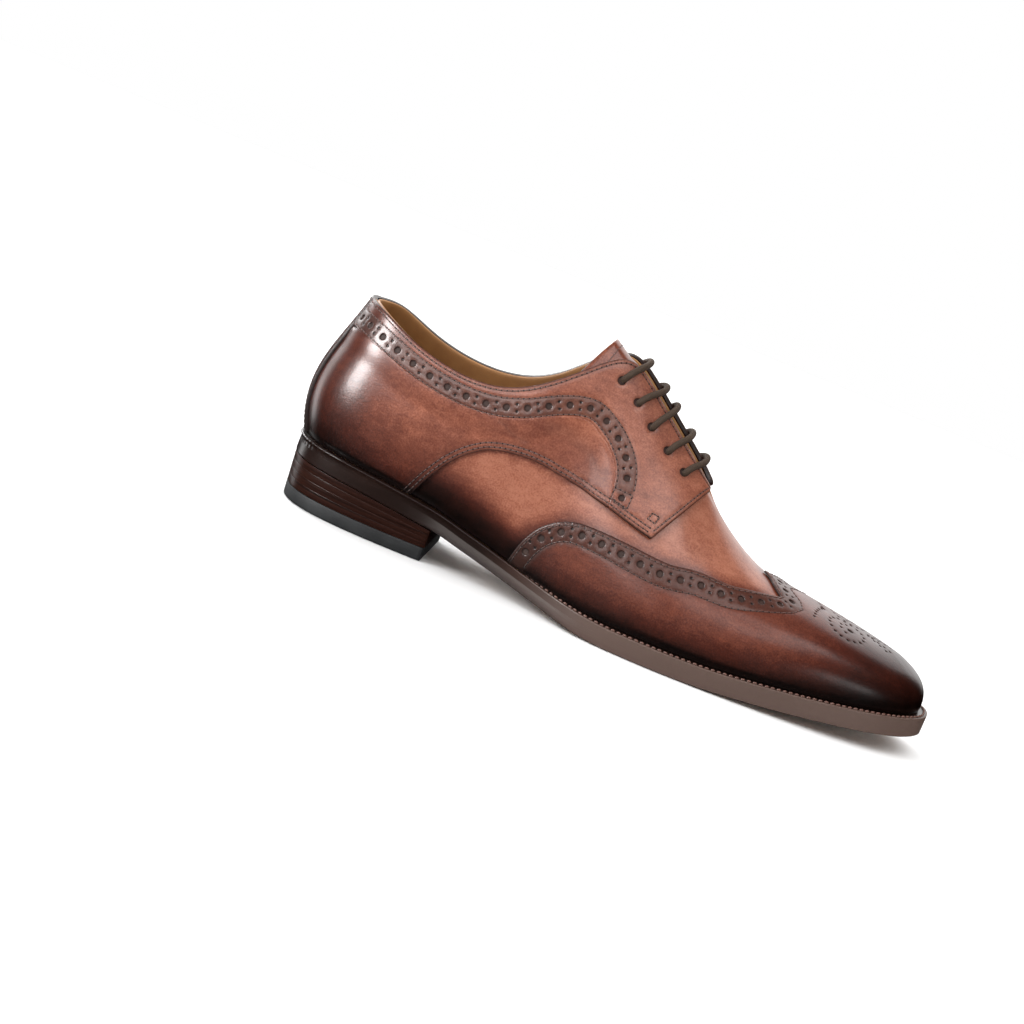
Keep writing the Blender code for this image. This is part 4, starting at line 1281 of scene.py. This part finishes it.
def make_laces():
    """Bars that come out of one eyelet, lie over the facings and go down the other."""
    sides = 16
    rings = 90
    turn = angles(sides)
    points = []
    faces = []
    weave_uv = []
    for number, (k, v, lean) in enumerate(EYELETS):
        over = resample(across(k, TRIM_OUT + 0.35 + LACE_R, v, 0.5, lean), 80)
        over = relax(over, 60)[5:-5]
        at = np.array([(k + 0.04, v + 0.006)])
        lat, med = ([chart.lift(at, [BASE - 0.4])[0], chart.lift(at, [TRIM_OUT - 0.2])[0]]
                    for chart in (LATERAL, MEDIAL))
        whole = relax(resample(np.vstack([lat, over, med[::-1]]), rings), 8)
        ahead = unit(np.gradient(whole, axis=0))
        first = unit(np.cross(ahead, (1.0, 0.0, 0.25)))
        second = np.cross(ahead, first)
        run = run_of(whole)
        radius = LACE_R * (1 + 0.035 * np.cos(8 * turn[None, :] + run[:, None] * 3.2))
        ring = whole[:, None] + radius[..., None] * (first[:, None] * np.cos(turn)[:, None]
                                                     + second[:, None] * np.sin(turn)[:, None])
        points.append(ring.reshape(-1, 3))
        faces += tube_faces(rings, sides, number * rings * sides)
        for i in range(rings - 1):
            for j in range(sides):
                for step, side in ((i, j), (i, j + 1), (i + 1, j + 1), (i + 1, j)):
                    weave_uv.append((side / sides * 4 + run[step] * 0.55, run[step] * 0.9))
    obj = add_mesh("lace", np.vstack(points), faces, [LACE],
                   replaces=["lace_bar_%d" % i for i in range(1, 6)])
    layer = obj.data.uv_layers.new(name="weave")
    layer.data.foreach_set("uv", np.array(weave_uv, np.float32).ravel())


# Sole and heel.
RING = np.concatenate([np.linspace(0, TIP, 380)[:-1], np.linspace(TIP, TURN, 380)[:-1]])


def outline(u, reach):
    """Sole outline at a reach beyond the feather line."""
    return section_at(u)[..., :2] + outward(u) * np.asarray(reach)[..., None]


def own_reach(u):
    x = section_at(u)[..., 0]
    return np.where(np.mod(u, TURN) <= TIP, reach_lat(x), reach_med(x)), x


def solid(name, rings, materials, replaces, breast=0):
    """Solid through closed rings of points, lowest first, with its two ends filled by strips across.

    With breast 1 the rings end in a straight line at the heel's front, which stays sharp.
    """
    n = len(rings[0])
    faces = tube_faces(len(rings), n)
    sides = len(faces)
    strips = []
    for i in range(n // 2):
        strip = list(dict.fromkeys((i, i + 1, (n - breast - i - 1) % n, (n - breast - i) % n)))
        if len(strip) > 2:
            strips.append(strip)
    top = (len(rings) - 1) * n
    faces += [tuple(reversed(s)) for s in strips] + [tuple(i + top for i in s) for s in strips]
    kinds = [0] * sides + [len(materials) - 1] * len(strips) + [0] * len(strips)
    obj = add_mesh(name, np.vstack(rings), faces, materials, None, kinds, replaces)
    rounded = np.arange(len(faces)) < sides
    if breast:
        rounded[n - 1:sides:n] = False
    obj.data.polygons.foreach_set("use_smooth", rounded)
    return obj


def sole_ring(reach, height, rise):
    """Ring of the sole at a reach beyond the feather line, a rise above a height that follows x."""
    xy = outline(RING, reach)
    return np.column_stack([xy, height(xy[:, 0]) + rise])


def paint_edge(obj, levels, marked):
    """Dark at the heel and waist. The welt has wheel marks at the heel and painted shade along its top, and
    the bevelled waist gets a painted grey reflection of the floor.
    """
    x = section_at(RING)[:, 0]
    row = np.repeat(np.arange(levels), len(RING))
    tone = np.tile(1 - smooth(92, 165, x), levels)
    grey = np.zeros(len(tone))
    marks = np.zeros(len(tone))
    if marked:
        run = run_of(section_at(RING)[:, :2])
        marks = np.tile((0.5 + 0.5 * np.cos(run * 2 * math.pi / 1.1)) * (1 - smooth(60, 78, x)), levels)
        # Painted shade: the welt's top, in the gap under the upper, is black.
        tone = np.where(row > levels - 3, 1.0, tone)
    else:
        # Painted reflection of the floor, grey on the bevelled waist.
        grey = 0.32 * np.tile(np.clip(bevel_at(x) / 3.0, 0, 1), levels) * (row > 1)
    layer = obj.data.attributes.new("paint", "FLOAT_COLOR", "POINT")
    full = np.column_stack([tone, grey, grey, np.ones(len(tone))])
    layer.data.foreach_set("color", full.astype(np.float32).ravel())
    layer = obj.data.attributes.new("marks", "FLOAT", "POINT")
    layer.data.foreach_set("value", marks.astype(np.float32))


# Welt from its foot up: share of its height, how far the square edge draws in, and how far the bead round the
# heel stands out.
WELT_PROFILE = [(0.0, 0.0, 0.0), (0.006, 0.0, 0.0), (0.3, 0.0, 0.0), (0.55, 0.0, 0.05), (0.66, 0.0, 0.35),
                (0.76, 0.0, 0.7), (0.86, 0.0, 0.8), (0.93, 0.06, 0.65), (0.98, 0.25, 0.2), (1.0, 0.6, -0.4),
                (1.0, 1.0, -0.9), (1.0, 1.6, -1.6)]


def make_sole():
    reach, x = own_reach(RING)
    bevel = bevel_at(x)
    lift = 0.55 + 0.9 * bevel
    seat = OUTSOLE + GAP / 2
    foot = 0.28
    rings = [sole_ring(reach - bevel - inset, sole_line, rise)
             for inset, rise in ((0.9, 0.0), (0.35, 0.06), (0.08, foot))]
    rings += [sole_ring(reach - bevel * (1 - share) ** 1.4, sole_line, foot + (lift - foot) * share)
              for share in (0.35, 0.7, 1.0)]
    rings += [sole_ring(reach, sole_line, np.maximum(rise, lift + 0.05))
              for rise in (seat * 0.8, seat - 0.02, seat)]
    obj = solid("outsole_skin", rings, [SOLE_EDGE_PAINT, SOLE_UNDER], ["outsole"])
    paint_edge(obj, len(rings), False)
    bead = np.clip((95 - x) / 25, 0, 1)
    tall = WELT + GAP / 2
    rings = [sole_ring(reach + bead * heel - (1 - bead) * square, sole_line, seat + tall * share)
             for share, square, heel in WELT_PROFILE]
    obj = solid("welt_skin", rings, [SOLE_EDGE_PAINT], ["welt"])
    paint_edge(obj, len(rings), True)
    inset = np.full(len(RING), BASE - WALL - 0.5)
    rings = [sole_ring(inset - extra, lambda s: welt_top(s) + GAP, rise)
             for extra, rise in ((0.0, 0.0), (0.0, INSOLE - 0.6), (0.25, INSOLE - 0.15), (0.8, INSOLE))]
    solid("sock", rings, [SOCK], ["insole"])


def heel_ring(height, shrink):
    """Outline of the heel behind its straight breast, at a height that may follow x."""
    fine = np.linspace(-8, 8, 1281)
    edge = outline(fine, own_reach(fine)[0] - shrink)
    ends = []
    for half in (fine < 0, fine > 0):
        order = np.argsort(edge[half, 0])
        ends.append(np.interp(HEEL_BREAST, edge[half, 0][order], fine[half][order]))
    u = np.linspace(ends[0], ends[1], 121)
    edge = outline(u, own_reach(u)[0] - shrink)
    edge[[0, -1], 0] = HEEL_BREAST
    z = height(edge[:, 0]) if callable(height) else np.full(len(edge), float(height))
    return np.column_stack([edge, z])


def make_heel():
    share = TOP_PIECE / 20.0
    foot = HEEL_TAPER + 0.2
    head = HEEL_TAPER * (1 - share) + 0.2
    levels = [(0.0, foot + 0.5), (0.15, foot + 0.12), (0.6, foot), (TOP_PIECE - 0.3, head),
              (TOP_PIECE, head + 0.12)]
    rings = [heel_ring(height, shrink) for height, shrink in levels]
    solid("top_piece_skin", rings, [RUBBER], ["top_piece"], 1)
    rings = []
    lifts = 4
    start = TOP_PIECE + GAP
    for n in range(lifts):
        for part, dent in ((0.0, 0.04), (0.05, 0.0), (0.95, 0.0), (1.0, 0.04)):
            s = (n + part) / lifts
            shrink = head * (1 - s) + 0.2 * s + dent
            rings.append(heel_ring(lambda x: start + (sole_line(x) - GAP - start) * s, shrink))
    solid("heel_stack_skin", rings, [HEEL_STACK], ["heel_stack"], 1)


def sew_welt():
    """Row of thread round the forefoot, on the welt."""
    u = np.concatenate([np.linspace(7.4, TIP, 500), np.linspace(TIP, TURN - 8.2, 500)[1:]])
    xy = outline(u, own_reach(u)[0] - 1.7)
    path = np.column_stack([xy, welt_top(xy[:, 0])])
    points = resample(path, int(run_of(path)[-1] / 2.7) + 1)
    at = (points[1:] + points[:-1]) / 2
    at[:, 2] += 0.18
    ahead = np.diff(points, axis=0)
    half = 0.35 * float(np.linalg.norm(ahead, axis=1).mean())
    up = np.repeat(np.array([[0.0, 0.0, 1.0]]), len(at), 0)
    STITCHES.append((at, unit(ahead), up, half, 0.5, WELT_THREAD))


make_wall()
make_wing()
make_side("lateral", LATERAL)
make_side("medial", MEDIAL)
make_strip()
make_tongue()
make_throat()
make_laces()
make_sole()
make_heel()
sew_welt()
make_thread(THREAD)
make_needle_holes(EDGE_PAINT_AND_HOLE_SHADE)
make_hole_floors(HOLE_FLOOR, EDGE_PAINT_AND_HOLE_SHADE)


# Stage, light and camera.
def make_stage():
    mesh = bpy.data.meshes.new("floor")
    line_count = 41
    spread = np.linspace(-1.25, 1.25, line_count)
    points = [(x, y, -0.0002) for x in spread for y in spread]
    mesh.from_pydata(points, [], grid_faces(line_count, line_count))
    floor = bpy.data.objects.new("floor", mesh)
    material, tree, shader = new_material("floor")
    link(tree, ramp(tree, noise(tree, 3.0), [(0.3, (0.94, 0.94, 0.94)), (0.7, (0.96, 0.96, 0.96))]),
         shader.inputs["Base Color"])
    shader.inputs["Roughness"].default_value = 0.75
    mesh.materials.append(material)
    bpy.context.scene.collection.objects.link(floor)
    floor.visible_glossy = False


# Name, place, aim, size, watts, whether the light is mirrored in the gloss, whether it lights the scene.
LIGHTS = [
    ("ceiling", (0.0, 0.0, 2.2), (0.0, 0.0, 0.0), (6.0, 6.0), 185, False, True),
    ("key", (-0.95, -0.80, 0.50), (-0.13, -0.03, 0.06), (0.45, 0.55), 7, False, True),
    ("counter", (-1.06, -0.68, 0.50), (-0.13, -0.02, 0.06), (0.46, 0.66), 30, True, False),
    ("soft", (-0.40, -1.12, 0.62), (-0.08, -0.02, 0.06), (0.8, 0.30), 4.4, True, False),
    ("front", (0.16, -0.92, 0.90), (0.06, -0.03, 0.03), (0.7, 0.30), 2.2, True, False),
    ("over", (0.42, -0.54, 1.04), (0.06, 0.0, 0.05), (0.42, 0.36), 2.0, True, False),
    ("back", (-0.75, 0.85, 0.5), (0.0, 0.0, 0.06), (0.7, 0.7), 8, True, True),
    ("rim", (-1.20, 0.70, 0.0), (-0.13, 0.0, 0.06), (0.35, 0.9), 2.6, True, False),
    ("backdrop", (0.0, 1.3, 0.7), (0.06, 0.0, 0.05), (1.8, 1.5), 12, True, False),
    ("toe", (0.87, -0.95, 0.10), (0.12, -0.03, 0.02), (0.45, 0.22), 1.3, True, False),
]


def make_light():
    """White round the horizon and dim above; the gloss comes from the soft lights alone."""
    world = bpy.data.worlds.new("studio")
    world.use_nodes = True
    tree = world.node_tree
    where = node(tree, "ShaderNodeTexCoord")
    split = node(tree, "ShaderNodeSeparateXYZ")
    link(tree, where.outputs["Generated"], split.inputs[0])
    white = (1.0, 1.0, 1.0)
    sky = ramp(tree, split.outputs["Z"], [(0.0, white), (0.16, white), (0.42, (0.2, 0.2, 0.2))])
    link(tree, sky, tree.nodes["Background"].inputs["Color"])
    bpy.context.scene.world = world
    world.cycles_visibility.glossy = False
    for name, place, aim, size, watts, mirrored, spread in LIGHTS:
        data = bpy.data.lights.new(name, "AREA")
        data.shape = "RECTANGLE"
        data.size, data.size_y = size
        data.energy = watts
        obj = bpy.data.objects.new(name, data)
        obj.location = place
        obj.rotation_euler = (Vector(aim) - Vector(place)).to_track_quat("-Z", "Y").to_euler()
        obj.visible_glossy = mirrored
        obj.visible_diffuse = spread
        obj.visible_camera = False
        bpy.context.scene.collection.objects.link(obj)
    bpy.context.scene.view_settings.view_transform = "Standard"


# Camera: angles to the shoe in degrees, distance in millimetres, pixels per millimetre at the target, the
# target in the form's millimetres and the pixel where it is seen.
AZIMUTH, ELEVATION, ROLL = 1.5, 10.4, 22.49
DISTANCE = 1270.0
PIXELS = 2.263
TARGET = np.array([154.0, 0.0, 45.0])
TARGET_PIXEL = np.array([631.3, 526.4])
PICTURE = 1024
SENSOR = 36.0


def make_camera():
    """The photograph's angle to the shoe: nearly square to its side, a little from above and rolled."""
    azimuth, elevation, roll = (math.radians(a) for a in (AZIMUTH, ELEVATION, ROLL))
    back = np.array([math.sin(azimuth) * math.cos(elevation), -math.cos(azimuth) * math.cos(elevation),
                     math.sin(elevation)])
    right = np.array([math.cos(azimuth), math.sin(azimuth), 0.0])
    up = np.cross(right, -back)
    place = TARGET + back * DISTANCE
    across_view = right * math.cos(roll) + up * math.sin(roll)
    up_view = up * math.cos(roll) - right * math.sin(roll)
    off = (PICTURE / 2 - TARGET_PIXEL) / PIXELS
    aim = TARGET + across_view * off[0] - up_view * off[1]
    z_axis = Vector(place - aim).normalized()
    y_axis = Vector(up_view)
    x_axis = y_axis.cross(z_axis).normalized()
    y_axis = z_axis.cross(x_axis)
    data = bpy.data.cameras.new("camera")
    data.sensor_width = SENSOR
    data.lens = PIXELS * DISTANCE / PICTURE * SENSOR
    data.clip_start = 0.05
    data.clip_end = 20.0
    camera = bpy.data.objects.new("camera", data)
    matrix = Matrix.Identity(4)
    for i, axis in enumerate((x_axis, y_axis, z_axis)):
        matrix.col[i][:3] = axis
    matrix.col[3][:3] = Vector(to_frame(place))
    camera.matrix_world = matrix
    bpy.context.scene.collection.objects.link(camera)
    bpy.context.scene.camera = camera


make_stage()
make_light()
make_camera()
